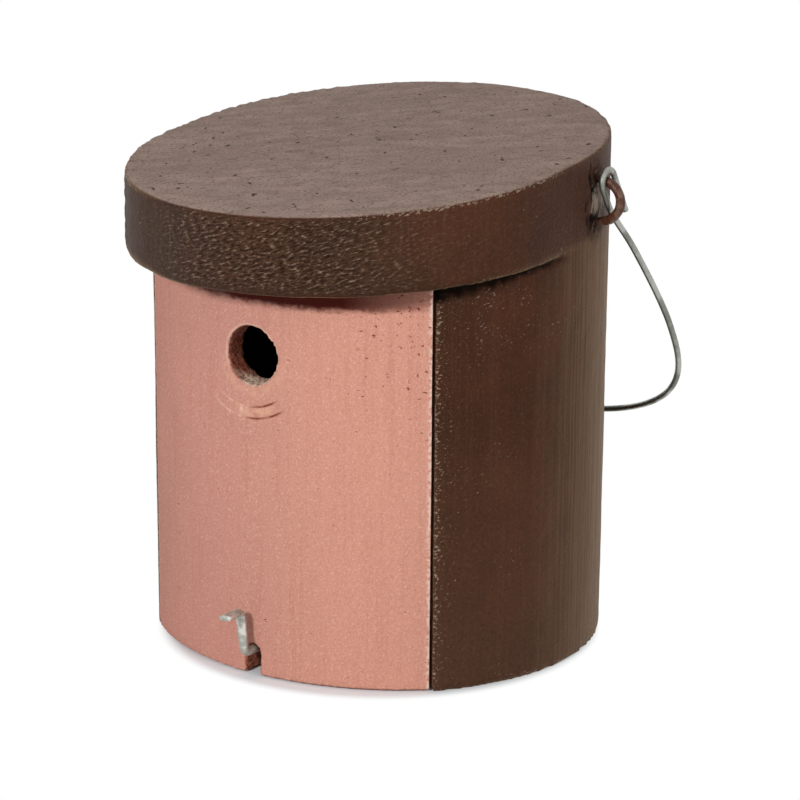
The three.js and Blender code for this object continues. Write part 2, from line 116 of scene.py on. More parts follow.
class NestBoxSizes(bpy.types.PropertyGroup):
    """Sizes of the castings and of the wire parts."""

    body_radius: length("Body radius", "Outside of the round wall", BODY_HIGH.x)
    wall: length("Wall", "Thickness of the wall", mm(14))
    floor: length("Floor", "Thickness of the floor", mm(20))
    height: length("Height", "Top of the roof over the body's axis", mm(237.3))
    roof_thickness: length("Roof thickness", "Roof slab on the body's axis", mm(40.6))
    roof_fall: angle("Roof fall", "Slope of the roof's top, down to the front", 6.7)
    rim_fall: angle("Rim fall", "Slope of the roof's underside, down to the front", 4.6)
    overhang: length("Overhang", "Roof past the body, at the front", mm(20))
    arris: length("Roof arris", "Rounding of the roof's edges", mm(1.6))
    recess: length("Ceiling recess", "Ceiling above the roof's rim", mm(5))
    opening: angle("Opening", "Half of the front opening, seen from the axis", 47.75)
    panel_gap: length("Panel gap", "Between the panel's sides and the wall", mm(1.6))
    panel_thickness: length("Panel thickness", "Thickness of the front panel", mm(12))
    panel_flattening: length("Panel flattening", "Panel's arc centre behind the axis", mm(17.5))
    panel_rebate: length("Panel rebate", "Panel's top behind the roof's lip", mm(3.5))
    lip_clearance: length("Lip clearance", "Between the panel's face and the lip", mm(1.2))
    floor_clearance: length("Floor clearance", "Between the panel's back and the floor", mm(0.8))
    hole: length("Entrance hole", "Diameter of the entrance hole", mm(28))
    hole_drop: length("Hole drop", "Hole's centre below the roof's rim", mm(35.9))
    drain: length("Drain", "Diameter of each drain hole", mm(8))
    drain_circle: length("Drain circle", "Radius on which the drains lie", mm(45))
    plug_bore: length("Plug bore", "Diameter of the bore for the hook's plug", mm(8.6))
    plug_depth: length("Plug depth", "Depth of that bore", mm(38.3))
    notch: length("Notch", "Width of the hook's notch", mm(8.5))
    notch_height: length("Notch height", "Crown of the notch above the ground", mm(15.7))
    hook_rod: length("Hook rod", "Diameter of the turning hook", mm(4))
    hook_bend: length("Hook bend", "Radius of the hook's two bends", mm(3))
    hook_standoff: length("Hook standoff", "Between the panel's face and the hook's arm", mm(4))
    hook_arm: length("Hook arm", "From the shaft's middle to the tab's middle", mm(19.8))
    hook_lean: angle("Hook lean", "Turn in which the hook was last left", 6.5)
    tab_reach: length("Tab reach", "From the arm's middle to the tab's cut end", mm(11.8))
    tab_width: length("Tab width", "Width of the flattened tab", mm(6.5))
    tab_thickness: length("Tab thickness", "Thickness of the flattened tab", mm(2.8))
    staple_rod: length("Staple rod", "Diameter of the staples", mm(4.4))
    staple_spread: length("Staple spread", "Between a staple's legs", mm(18.3))
    bail_rod: length("Bail rod", "Diameter of the bail", mm(3))
    bail_reach: length("Bail reach", "From the staple's leg to the crossbar", mm(163.5))
    grain: length("Casting grain", "Mesh size of the body casting", mm(1.6))
    panel_grain: length("Panel grain", "Mesh size of the front panel", mm(1.15))


class NestBoxColours(bpy.types.PropertyGroup):
    """Colours of the finishes."""

    paint: colour("Paint", "Brown masonry paint on the body", "#4a2715")
    paint_dark: colour("Dark paint", "Thicker coats of the same paint", "#3c1f0f")
    # Thin paint on the mould's lines and sand specks; also the painted reflection of the floor low on the
    # wall.
    thin_paint_and_reflection: colour("Thin paint", "Paint that the casting shows through", "#5f4433")
    # Painted highlight on the wrinkles' ridges, and a faint painted sheen over the wrinkled rim.
    paint_ridge_highlight: colour("Paint ridge", "Dulled ridges of the wrinkled coat", "#8d7763")
    # Painted shade in the wrinkles' hollows, on the rim's front and beside the opening; also dark sand
    # specks.
    paint_shade_and_specks: colour("Paint hollow", "Hollows of the wrinkled coat", "#301b0e")
    # Painted sheen: the pale colour that the wall shows at a low angle.
    paint_sheen: colour("Dusty paint", "Dry film that shows on the wall at a low angle", "#8f7355")
    # Painted shade in dents and cracks.
    paint_recess_shade: colour("Sunk paint", "Paint in dents and cracks", "#0a0503")
    paint_rubbed: colour("Rubbed paint", "Paint scuffed off the staples", "#6b5143")
    fleck: colour("Fleck", "Bare grains where the paint has chipped", "#aa9480")
    fleck_dark: colour("Dark fleck", "Duller bare grains", "#735c4c")
    # The pale streaky patch between a staple's legs.
    pale_streak: colour("Bare streak", "Unpainted wall between a staple's legs", "#ab9989")
    # Painted sheen: the top's colours are pale mostly from a painted reflection at a low angle, over thin
    # dry paint.
    roof_thin_paint_and_sheen: colour("Roof", "Dry paint brushed thin on the top", "#a89084")
    roof_dark: colour("Roof strokes", "Thicker brush strokes on the top", "#8f796e")
    roof_grit: colour("Roof grit", "Shaded side of the sand on the top", "#6b564c")
    # Painted shade in the top's pits and scratches.
    roof_pit_shade: colour("Roof pits", "Pits in the top", "#2c1c15")
    concrete: colour("Concrete", "Terracotta wood-concrete of the front panel", "#c18879")
    concrete_rose: colour("Rose concrete", "Pinker patches of the panel", "#bb8577")
    concrete_ochre: colour("Ochre concrete", "Warmer right side of the panel", "#c98f7b")
    concrete_dark: colour("Shaded sand", "Shaded side of the panel's sand", "#b17363")
    concrete_pale: colour("Pale sand", "Lit side of the panel's sand", "#dcae9b")
    # Painted highlight on the panel's upright arrises.
    arris_highlight: colour("Fresh edge", "Pale broken arrises of the panel", "#f0d3c6")
    # Painted shade in pores and grooves.
    pore_shade: colour("Pore", "Pores and grooves in the concrete", "#782a1a")
    cut_wall: colour("Cut wall", "Crumbly wall of the entrance", "#8c4e3b")
    # The notch's walls, made paler with painted light.
    lit_notch_wall: colour("Notch wall", "Crumbly walls of the notch", "#c27a5e")
    cut_dark: colour("Cut wall shade", "Dark crumbs in those walls", "#5c281b")
    # Painted light on the entrance's lower wall.
    painted_entrance_light: colour("Rubbed rim", "Pale sand where the entrance is rubbed", "#d8bfa9")
    # Dark crumbs in that painted light.
    crumbs_in_entrance_light: colour("Rubbed grit", "Dark crumbs in the rubbed sand", "#96614c")
    rubbed_face: colour("Scuffed face", "Paler face round the scored arcs", "#d2a086")
    inside: colour("Inside", "Unpainted concrete inside the box", "#8a6f63")
    inside_dark: colour("Damp inside", "Damp patches inside the box", "#66503f")
    zinc: colour("Zinc", "Bright zinc of the hook", "#d2d2cc")
    zinc_dull: colour("Dull zinc", "Scuffed zinc of the hook", "#a3a39a")
    bail_zinc: colour("Bail zinc", "Weathered zinc of the bail", "#aeafa8")
    bail_zinc_dull: colour("Dull bail zinc", "Duller zinc of the bail", "#83847c")
    # Painted shadow of the roof's lip on the panel.
    painted_lip_shadow: colour("Stray paint", "Brown paint strayed on to the panel under the roof", "#501b13")
    nylon: colour("Plug", "Grey nylon of the wall plug", "#4d4a47")
    nylon_dusty: colour("Dusty plug", "Red dust on the plug", "#5d4138")


class NestBoxStage(bpy.types.PropertyGroup):
    """Camera and lights."""

    azimuth: angle("Azimuth", "Camera's turn round the box, from the front to the right", 34.03)
    elevation: angle("Elevation", "Camera's angle above the horizon", 15.0)
    roll: angle("Roll", "Camera's turn about its own axis", 0.42)
    distance: length("Distance", "Camera from the point that it looks at", 1.326)
    focal: FloatProperty(name="Focal length", description="Lens, in millimetres", default=123.6)
    ambient: FloatProperty(name="Ambient", description="Strength of the even light", default=0.29)
    key: FloatProperty(name="Key light", description="Power of the soft box in front", default=14.9)
    fill: FloatProperty(name="Fill light", description="Power of the soft box at the side", default=6.6)


def sizes():
    return bpy.context.scene.nest_box_sizes


def colours():
    return bpy.context.scene.nest_box_colours


# Mesh tools ----------------------------------------------------------------------------------


def pick(*objects):
    """Makes these the only selected objects, the first one active."""
    bpy.ops.object.select_all(action="DESELECT")
    for each in objects:
        each.select_set(True)
    bpy.context.view_layer.objects.active = objects[0]


def named(name):
    """Names the primitive just added, puts its place into its mesh, and returns it."""
    made = bpy.context.object
    made.name = name
    made.data.name = name
    bpy.ops.object.transform_apply(location=True, rotation=True, scale=True)
    return made


def upright_cylinder(name, radius, low, high, centre_y=0.0, x=0.0, sides=ROUND):
    bpy.ops.object.select_all(action="DESELECT")
    bpy.ops.mesh.primitive_cylinder_add(
        vertices=sides, radius=radius, depth=high - low, location=(x, centre_y, (low + high) / 2)
    )
    return named(name)


def level_cylinder(name, radius, front, back, height, sides=BAR):
    """A cylinder along Y."""
    bpy.ops.object.select_all(action="DESELECT")
    bpy.ops.mesh.primitive_cylinder_add(
        vertices=sides,
        radius=radius,
        depth=back - front,
        location=(0, (front + back) / 2, height),
        rotation=(math.pi / 2, 0, 0),
    )
    return named(name)


def wedge(name, half_angle, low, high):
    """A sector that opens from the axis to the front."""
    bpy.ops.object.select_all(action="DESELECT")
    bpy.ops.mesh.primitive_cube_add(
        size=1, location=(0, -FAR / 4, (low + high) / 2), scale=(1, FAR / 2, high - low)
    )
    made = named(name)
    half_width = math.tan(half_angle) * FAR / 2
    for vertex in made.data.vertices:
        side = math.copysign(1, vertex.co.x)
        vertex.co.x = side * (half_width if vertex.co.y < -FAR / 4 else mm(0.01))
    return made


def edit(obj, chosen, kind="VERT"):
    """Enters edit mode with only the vertices, edges or faces selected that pass the test."""
    pick(obj)
    bpy.ops.object.mode_set(mode="EDIT")
    bpy.ops.mesh.select_mode(type=kind)
    bpy.ops.mesh.select_all(action="DESELECT")
    mesh = bmesh.from_edit_mesh(obj.data)
    for element in {"VERT": mesh.verts, "EDGE": mesh.edges, "FACE": mesh.faces}[kind]:
        if chosen(element):
            element.select_set(True)
    mesh.select_flush_mode()
    bmesh.update_edit_mesh(obj.data)


def leave_edit():
    bpy.ops.object.mode_set(mode="OBJECT")


def slice_off(obj, point, normal):
    """Cuts away what lies on the normal's side of a plane, and closes the cut."""
    edit(obj, lambda element: True)
    bpy.ops.mesh.bisect(plane_co=point, plane_no=normal, use_fill=True, clear_outer=True)
    leave_edit()


def modify(obj, kind, **settings):
    """Adds a modifier with its settings and applies it."""
    pick(obj)
    modifier = obj.modifiers.new(kind.lower(), kind)
    for name, value in settings.items():
        setattr(modifier, name, value)
    bpy.ops.object.modifier_apply(modifier=modifier.name)


def combine(obj, other, operation="DIFFERENCE"):
    """Cuts or joins obj with the other solid, which is used up."""
    modify(obj, "BOOLEAN", object=other, operation=operation, solver="EXACT")
    bpy.data.objects.remove(other)
    return obj


def recast(obj, grain, smoothing=3):
    """Rebuilds the solid as an even, fine mesh with soft arrises, as a casting has."""
    modify(obj, "REMESH", mode="VOXEL", voxel_size=grain, adaptivity=0)
    modify(obj, "SMOOTH", factor=0.5, iterations=smoothing)


def relief(obj, depth):
    """Moves each point along its normal by the depth that the function gives, in metres."""
    mesh = obj.data
    moved = [v.co + v.normal * depth(v.co, v.normal) for v in mesh.vertices]
    for vertex, place in zip(mesh.vertices, moved):
        vertex.co = place
    mesh.update()


def thin_out(obj, chosen, share):
    """Keeps about this share of the triangles where the test says, out of plain sight."""
    edit(obj, lambda vertex: chosen(vertex.co))
    bpy.ops.mesh.decimate(ratio=share)
    leave_edit()


def mark(obj, s, weights):
    """Stores a number for each point under each name, which a material then reads. Each weight
    is a function of the sizes, the point's place and its normal."""
    for name, weight in weights.items():
        layer = obj.data.attributes.new(name, "FLOAT", "POINT")
        points = obj.data.vertices
        layer.data.foreach_set("value", [weight(s, point.co, point.normal) for point in points])


def smooth_step(low, high, value):
    """0 at the low end and 1 at the high end, which may be the smaller."""
    t = min(max((value - low) / (high - low), 0), 1)
    return t * t * (3 - 2 * t)


def bump_at(value, centre, width):
    return math.exp(-(((value - centre) / width) ** 2))


def dress(obj, body, slot, material, *nodes):
    """Finishes a piece: smooth shading, material, body, and the nodes that it stands for. Its slot is not
    used.
    """
    pick(obj)
    bpy.ops.object.shade_smooth()
    if material:
        obj.data.materials.clear()
        obj.data.materials.append(material)
    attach(obj, body)
    if nodes:
        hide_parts(*nodes)


# Materials -----------------------------------------------------------------------------------

SOFT = {"interpolation_type": "SMOOTHSTEP"}
TIMES = {"operation": "MULTIPLY"}


def new_material(name):
    """An empty material, its node tree, and the place on the piece that its patterns read."""
    material = bpy.data.materials.new(name)
    material.use_nodes = True
    tree = material.node_tree
    tree.nodes.clear()
    return material, tree, add(tree, "TexCoord", out="Object")


def add(tree, kind, inputs=None, out=0, **settings):
    """Adds a shader node with its own settings, fills or links its inputs, and returns an output."""
    node = tree.nodes.new("ShaderNode" + kind)
    for name, value in settings.items():
        setattr(node, name, value)
    for name, value in (inputs or {}).items():
        if isinstance(value, bpy.types.NodeSocket):
            tree.links.new(value, node.inputs[name])
        else:
            node.inputs[name].default_value = value
    return node.outputs[out] if node.outputs else None


def clouds(tree, place, size_mm, turn=0.0, detail=2.0):
    """Cloudy variation round 0.5, with clouds of a real size each way, turned about Z."""
    size = size_mm if isinstance(size_mm, tuple) else (size_mm,) * 3
    scale = [mm(length_mm) for length_mm in size]
    mapping = {"Vector": place, "Rotation": (0, 0, turn), "Scale": scale}
    vector = add(tree, "Mapping", mapping, vector_type="TEXTURE")
    return add(tree, "TexNoise", {"Vector": vector, "Scale": 1.0, "Detail": detail, "Roughness": 0.6})


def patches(tree, place, size_mm, low, high, strength=1.0, turn=0.0, detail=2.0):
    """Soft patches of a real size, which grow as the clouds pass from one level to the other."""
    cloud = clouds(tree, place, size_mm, turn, detail)
    return add(tree, "MapRange", {0: cloud, 1: low, 2: high, 4: strength}, **SOFT)


def grains(tree, place, size_mm, threshold, strength=1.0, turn=0.0, extra=0.0):
    """Irregular grains of a real size, where the clouds and something extra pass a threshold."""
    raised = add(tree, "Math", {0: clouds(tree, place, size_mm, turn), 1: extra}, operation="ADD")
    return add(tree, "MapRange", {0: raised, 1: threshold, 2: threshold + 0.05, 4: strength}, **SOFT)


def layered(tree, ground, *covers):
    """Lays colours over a ground, one after the other, each with the share that it covers."""
    for share, cover in covers:
        ground = add(tree, "Mix", {0: share, 6: ground, 7: cover}, out=2, data_type="RGBA")
    return ground


def bumpy(tree, depth_mm, *patterns):
    """Relief from patterns that are added up, each with its height as a share of the depth."""
    height = 0.0
    for pattern, share in patterns:
        height = add(tree, "Math", {0: pattern, 1: share, 2: height}, operation="MULTIPLY_ADD")
    return add(tree, "Bump", {"Height": height, "Distance": mm(depth_mm)})


def ring(tree, from_x, from_z, radius_mm, half_width_mm):
    """A thin circle on the panel's face: 1 on its line, round a centre that is already taken off."""
    across = add(tree, "CombineXYZ", {0: from_x, 2: from_z})
    reach = add(tree, "VectorMath", {0: across}, out="Value", operation="LENGTH")
    off = add(tree, "Math", {0: reach, 1: mm(radius_mm)}, operation="SUBTRACT")
    off = add(tree, "Math", {0: off}, operation="ABSOLUTE")
    return add(tree, "MapRange", {0: off, 1: mm(half_width_mm), 2: mm(0.3 * half_width_mm)}, **SOFT)


def marks(tree, *names):
    """What was stored under these names for each point of the piece."""
    return [add(tree, "Attribute", out="Fac", attribute_name=name) for name in names]


def unrolled(tree, place):
    """The wall laid flat: metres round the body from the front, and metres up."""
    x, y, z = add(tree, "SeparateXYZ", {0: place}).node.outputs
    forward = add(tree, "Math", {0: y, 1: -1.0}, **TIMES)
    turn = add(tree, "Math", {0: x, 1: forward}, operation="ARCTAN2")
    along = add(tree, "Math", {0: turn, 1: sizes().body_radius}, **TIMES)
    return add(tree, "CombineXYZ", {0: along, 1: z})


def over_slope(tree, y, z, height, fall):
    """Metres over a plane that has this height on the body's axis and falls to the front."""
    slope = add(tree, "Math", {0: y, 1: math.tan(fall), 2: height}, operation="MULTIPLY_ADD")
    return add(tree, "Math", {0: z, 1: slope}, operation="SUBTRACT")


def painted_rim_and_jamb_shade(tree, flat, x, z, wrinkled):
    """Painted shade on the rim's front, mostly left of its middle, darker paint right of its middle, and
    painted shade on the wall beside the opening, below the lip.
    """
    rim_shade = add(tree, "MapRange", {0: x, 1: mm(-6), 2: mm(-34), 4: 0.9}, **SOFT)
    dulled = add(tree, "MapRange", {0: x, 1: mm(-92), 2: mm(-66), 3: 0.35}, **SOFT)
    rim_shade = add(tree, "Math", {0: rim_shade, 1: dulled}, **TIMES)
    right = add(tree, "MapRange", {0: x, 1: mm(25), 2: mm(55), 4: 0.45}, **SOFT)
    rim_shade = add(tree, "Math", {0: right, 1: wrinkled, 2: rim_shade}, operation="MULTIPLY_ADD")
    around = add(tree, "SeparateXYZ", {0: flat})
    jamb_shade = add(tree, "MapRange", {0: around, 1: mm(130), 2: mm(98), 4: 0.4}, **SOFT)
    under_lip = add(tree, "MapRange", {0: z, 1: mm(194), 2: mm(188)})
    return rim_shade, add(tree, "Math", {0: jamb_shade, 1: under_lip}, **TIMES)


def painted_low_angle_sheen(tree, mould, wrinkled):
    """Painted sheen: a pale reflection, lined by the mould, that shows at a low angle where the coat isn't
    wrinkled.
    """
    smooth = add(tree, "MapRange", {0: wrinkled, 1: 0.0, 2: 0.1, 3: 1.0, 4: 0.0})
    lined = add(tree, "MapRange", {0: mould, 1: 0.35, 2: 0.65, 3: 0.4, 4: 1.0})
    # share of the painted sheen, lined by the mould
    film = add(tree, "Math", {0: smooth, 1: lined}, **TIMES)
    facing = add(tree, "LayerWeight", {0: 0.5}, out="Facing")
    # painted sheen, strongest where the wall is seen at a low angle
    dust = add(tree, "MapRange", {0: facing, 1: 0.3, 2: 0.95})
    return add(tree, "Math", {0: dust, 1: film}, **TIMES)


def brushed_top(tree, place, sand):
    """A painted sheen that makes the top pale, over thin dry brush strokes and sand, with round pitting and
    short scratches in painted shade: the top's colour, and its shaded pitting.
    """
    c = colours()
    strokes = patches(tree, place, (14, 8, 12), 0.3, 0.7, turn=BRUSH_TURN, detail=5)
    sweep = patches(tree, place, (95, 24, 24), 0.4, 0.65, 0.5, turn=BRUSH_TURN)
    grit = add(tree, "MapRange", {0: sand, 1: 0.5, 2: 0.66, 4: 0.75}, **SOFT)
    scratches = grains(tree, place, (6, 1.8, 3), 0.66, 0.5, turn=BRUSH_TURN)
    shaded_pits = grains(tree, place, (4.6, 7.5, 6), 0.68, 0.95, turn=BRUSH_TURN)
    shaded_pits = add(tree, "Math", {0: shaded_pits, 1: scratches}, operation="MAXIMUM")
    skin = layered(
        tree,
        c.roof_thin_paint_and_sheen,
        (strokes, c.roof_dark),
        (sweep, c.roof_dark),
        (grit, c.roof_grit),
        # painted shade in the pits and scratches
        (shaded_pits, c.roof_pit_shade),
    )
    return skin, shaded_pits


def masonry_paint():
    """Two coats of brown masonry paint on a rough casting: thick and satin on the sides, which look deep
    brown and shine only at a low angle, with a painted sheen there; painted highlights and shade in the
    rim's wrinkles, painted shade on the rim's front and in dents and cracks; brushed out dry and paler over
    the top, where most of the paleness is a painted sheen; and chipped to the grains of the casting along
    the arrises."""
    s, c = sizes(), colours()
    material, tree, place = new_material("brown_masonry_paint_on_wood_concrete")
    flat = unrolled(tree, place)
    x, y, z = add(tree, "SeparateXYZ", {0: place}).node.outputs
    chipped, wrinkled, pale_patch, sunk = marks(tree, "chipped", "wrinkled", "pale_patch", "sunk")

    # Side: an uneven coat with faint upright lines of the mould, painted shade on the rim's front and beside
    # the opening, a painted reflection of the floor that lightens the wall low down, and sand that dulls it.
    thick = patches(tree, place, 38, 0.35, 0.65, detail=4)
    rim_shade, jamb_shade = painted_rim_and_jamb_shade(tree, flat, x, z, wrinkled)
    mould = clouds(tree, place, (1.5, 1.5, 130), detail=3)
    lines = add(tree, "MapRange", {0: mould, 1: 0.45, 2: 0.8, 4: 0.22}, **SOFT)
    # painted reflection of the floor, lighter towards the foot
    floor_reflection = add(tree, "MapRange", {0: z, 1: mm(140), 2: mm(10), 4: 0.32})
    sand = clouds(tree, place, 1.3, detail=3)
    specks = add(tree, "MapRange", {0: sand, 1: 0.54, 2: 0.7, 4: 0.4}, **SOFT)
    dark_specks = add(tree, "MapRange", {0: sand, 1: 0.46, 2: 0.3, 4: 0.6}, **SOFT)

    # The wrinkled coat: a faint painted sheen over it, painted highlights on its ridges and painted shade in
    # its hollows.
    wrinkles = clouds(tree, flat, (2.6, 1.05, 1), 0.35, detail=2.5)
    ground = add(tree, "Math", {0: wrinkled, 1: 0.08}, **TIMES)
    hollow = add(tree, "MapRange", {0: wrinkles, 1: 0.5, 2: 0.38}, **SOFT)
    hollow = add(tree, "Math", {0: hollow, 1: wrinkled}, **TIMES)
    ridge = add(tree, "MapRange", {0: wrinkles, 1: 0.54, 2: 0.7}, **SOFT)
    ridge = add(tree, "Math", {0: ridge, 1: wrinkled}, **TIMES)

    # Bare grains in small dashes that rise to the right, dense where the marks are high.
    worn = add(tree, "Math", {0: chipped, 1: 0.24}, **TIMES)
    flecks = grains(tree, flat, (1.9, 1.0, 1), 0.715, 0.85, turn=0.4, extra=worn)
    tone = clouds(tree, flat, (2.6, 2.6, 1))
    fleck = layered(tree, c.fleck, (tone, c.fleck_dark))

    # A pale streaky patch on the wall between each staple's legs.
    streaks = patches(tree, place, (2.2, 2.2, 9), 0.5, 0.6, detail=3)
    streak = layered(tree, c.pale_streak, (streaks, c.paint))

    side = layered(
        tree,
        c.paint,
        (thick, c.paint_dark),
        # painted shade on the rim's front and beside the opening
        (rim_shade, c.paint_shade_and_specks),
        (jamb_shade, c.paint_shade_and_specks),
        (lines, c.thin_paint_and_reflection),
        (floor_reflection, c.thin_paint_and_reflection),
        (specks, c.thin_paint_and_reflection),
        (dark_specks, c.paint_shade_and_specks),
        # painted sheen, highlights and shade of the wrinkled coat
        (ground, c.paint_ridge_highlight),
        (hollow, c.paint_shade_and_specks),
        (ridge, c.paint_ridge_highlight),
        # painted sheen at a low angle
        (painted_low_angle_sheen(tree, mould, wrinkled), c.paint_sheen),
        (flecks, fleck),
        (pale_patch, streak),
    )

    # The brushed skin, with its painted sheen, takes over at the top, and painted shade turns dents and
    # cracks black.
    skin, shaded_pits = brushed_top(tree, place, sand)
    over = over_slope(tree, y, z, s.height, s.roof_fall)
    top = add(tree, "MapRange", {0: over, 1: mm(-0.9), 2: mm(-0.2)}, **SOFT)
    coat = layered(tree, side, (top, skin), (sunk, c.paint_recess_shade))

    brushed = clouds(tree, flat, (10, 1.3, 1), 0.35, detail=2)
    leather = add(tree, "Math", {0: wrinkles, 1: wrinkled}, **TIMES)
    sunken = add(tree, "Math", {0: shaded_pits, 1: top}, **TIMES)
    normal = bumpy(
        tree, 1, (leather, 4.0), (brushed, 0.3), (sand, 0.4), (mould, 0.18), (flecks, 0.15), (sunken, -0.45)
    )
    gloss = add(tree, "MapRange", {0: wrinkled, 3: 0.55, 4: 0.33})
    gloss = add(tree, "Mix", {0: top, 2: gloss, 3: 0.62})
    gloss = add(tree, "Mix", {0: sunk, 2: gloss, 3: 1.0})
    shader = add(tree, "BsdfPrincipled", {
        "Base Color": coat, "Roughness": gloss, "Specular IOR Level": 0.1, "Normal": normal
    })
    add(tree, "OutputMaterial", {"Surface": shader})
    return material


def bare_wood_concrete():
    """Unpainted wood-concrete inside the box: dry and open-pored, so it looks dull and dark."""
    c = colours()
    material, tree, place = new_material("bare_wood_concrete_inside")
    damp = patches(tree, place, 25, 0.35, 0.65, detail=4)
    pores = grains(tree, place, 2.4, 0.6)
    # painted shade in the pores
    shade = layered(tree, c.inside, (damp, c.inside_dark), (pores, c.pore_shade))
    sand = clouds(tree, place, 1.4, detail=4)
    normal = bumpy(tree, 0.6, (sand, 1.0), (pores, -0.5))
    shader = add(tree, "BsdfPrincipled", {
        "Base Color": shade, "Roughness": 0.95, "Specular IOR Level": 0.2, "Normal": normal
    })
    add(tree, "OutputMaterial", {"Surface": shader})
    return material


def painted_lip_shadow(tree, place, x, y, z):
    """Painted shadow of the roof's lip: a dark band with a ragged edge across the panel's top, weaker to the
    right.
    """
    s = sizes()
    over_lip = over_slope(tree, y, z, s.height - s.roof_thickness, s.rim_fall)
    below = add(tree, "Math", {0: over_lip, 1: -1.0}, **TIMES)
    ragged = clouds(tree, place, (4.5, 4.5, 3.0), detail=3)
    below = add(tree, "Math", {0: ragged, 1: mm(-5), 2: below}, operation="MULTIPLY_ADD")
    below = add(tree, "Math", {0: x, 1: -0.02, 2: below}, operation="MULTIPLY_ADD")
    lip_shadow = add(tree, "MapRange", {0: below, 1: mm(10), 2: mm(6.4)}, **SOFT)
    fade = add(tree, "MapRange", {0: x, 1: mm(45), 2: mm(78), 3: 1.0, 4: 0.4})
    return add(tree, "Math", {0: lip_shadow, 1: fade}, **TIMES)


def scored_arcs(tree, place, x, z):
    """Two arcs scored below the entrance, each as a pale painted highlight along its line and its groove in
    painted shade.
    """
    from_x = add(tree, "Math", {0: x, 1: mm(ARC_CENTRE[0])}, operation="SUBTRACT")
    from_z = add(tree, "Math", {0: z, 1: hole_height(sizes()) + mm(ARC_CENTRE[1])}, operation="SUBTRACT")
    arc_noise = clouds(tree, place, 3.5, detail=3)
    broken = add(tree, "MapRange", {0: arc_noise, 1: 0.36, 2: 0.5, 3: 0.5, 4: 0.9})
    # painted highlight along each arc's line, stronger to the left
    scuffed = add(tree, "MapRange", {0: arc_noise, 1: 0.42, 2: 0.55, 4: 0.7})
    leftward = add(tree, "MapRange", {0: from_x, 1: mm(6), 2: mm(-4), 3: 0.3, 4: 1.0})
    scuffed = add(tree, "Math", {0: scuffed, 1: leftward}, **TIMES)
    for radius, start, end in SCORED_ARCS:
        line = ring(tree, from_x, from_z, radius, 0.7)
        below = add(tree, "MapRange", {0: from_z, 1: mm(-0.75 * radius), 2: mm(-0.9 * radius)})
        line = add(tree, "Math", {0: line, 1: below}, **TIMES)
        left = add(tree, "MapRange", {0: from_x, 1: mm(start - 2), 2: mm(start + 3)})
        right = add(tree, "MapRange", {0: from_x, 1: mm(end + 2), 2: mm(end - 2)})
        groove = add(tree, "Math", {0: left, 1: right}, **TIMES)
        groove = add(tree, "Math", {0: groove, 1: line}, **TIMES)
        groove = add(tree, "Math", {0: groove, 1: broken}, **TIMES)
        yield add(tree, "Math", {0: line, 1: scuffed}, **TIMES), groove


def sandy_face(tree, place, x, pitted):
    """Rose and ochre patches, faint upright streaks, pale and dark sand that are its painted lit and shaded
    sides, and
    open pores in painted shade: the face's colour, its sand and its pores."""
    c = colours()
    rose = patches(tree, place, 42, 0.35, 0.65, detail=4)
    warm = add(tree, "MapRange", {0: x, 1: mm(-30), 2: mm(70)}, **SOFT)
    streaks = patches(tree, place, (2.6, 2.6, 60), 0.45, 0.8, 0.4, detail=3)
    # The real sand is finer than this, and would not show.
    sand = clouds(tree, place, 0.9, detail=3)
    dark_sand = add(tree, "MapRange", {0: sand, 1: 0.5, 2: 0.3, 4: 0.5}, **SOFT)
    pale_sand = add(tree, "MapRange", {0: sand, 1: 0.52, 2: 0.72, 4: 0.6}, **SOFT)
    more = add(tree, "Math", {0: pitted, 1: 0.085}, **TIMES)
    shaded_pits = grains(tree, place, (2.8, 2.8, 1.9), 0.725, 0.85, extra=more)
    face = layered(
        tree,
        c.concrete,
        (rose, c.concrete_rose),
        (warm, c.concrete_ochre),
        (streaks, c.concrete_dark),
        (dark_sand, c.concrete_dark),
        (pale_sand, c.concrete_pale),
        # painted shade in the open pores
        (shaded_pits, c.pore_shade),
    )
    return face, sand, shaded_pits


def entrance_highlight(tree, x, hole_z):
    """A painted highlight: a thin pale line round the upper part of the entrance's edge."""
    edge_highlight = ring(tree, x, hole_z, sizes().hole * 500 + 0.4, 0.85)
    upper = add(tree, "MapRange", {0: hole_z, 1: mm(-9), 2: mm(-3), 4: 0.6})
    return add(tree, "Math", {0: edge_highlight, 1: upper}, **TIMES)


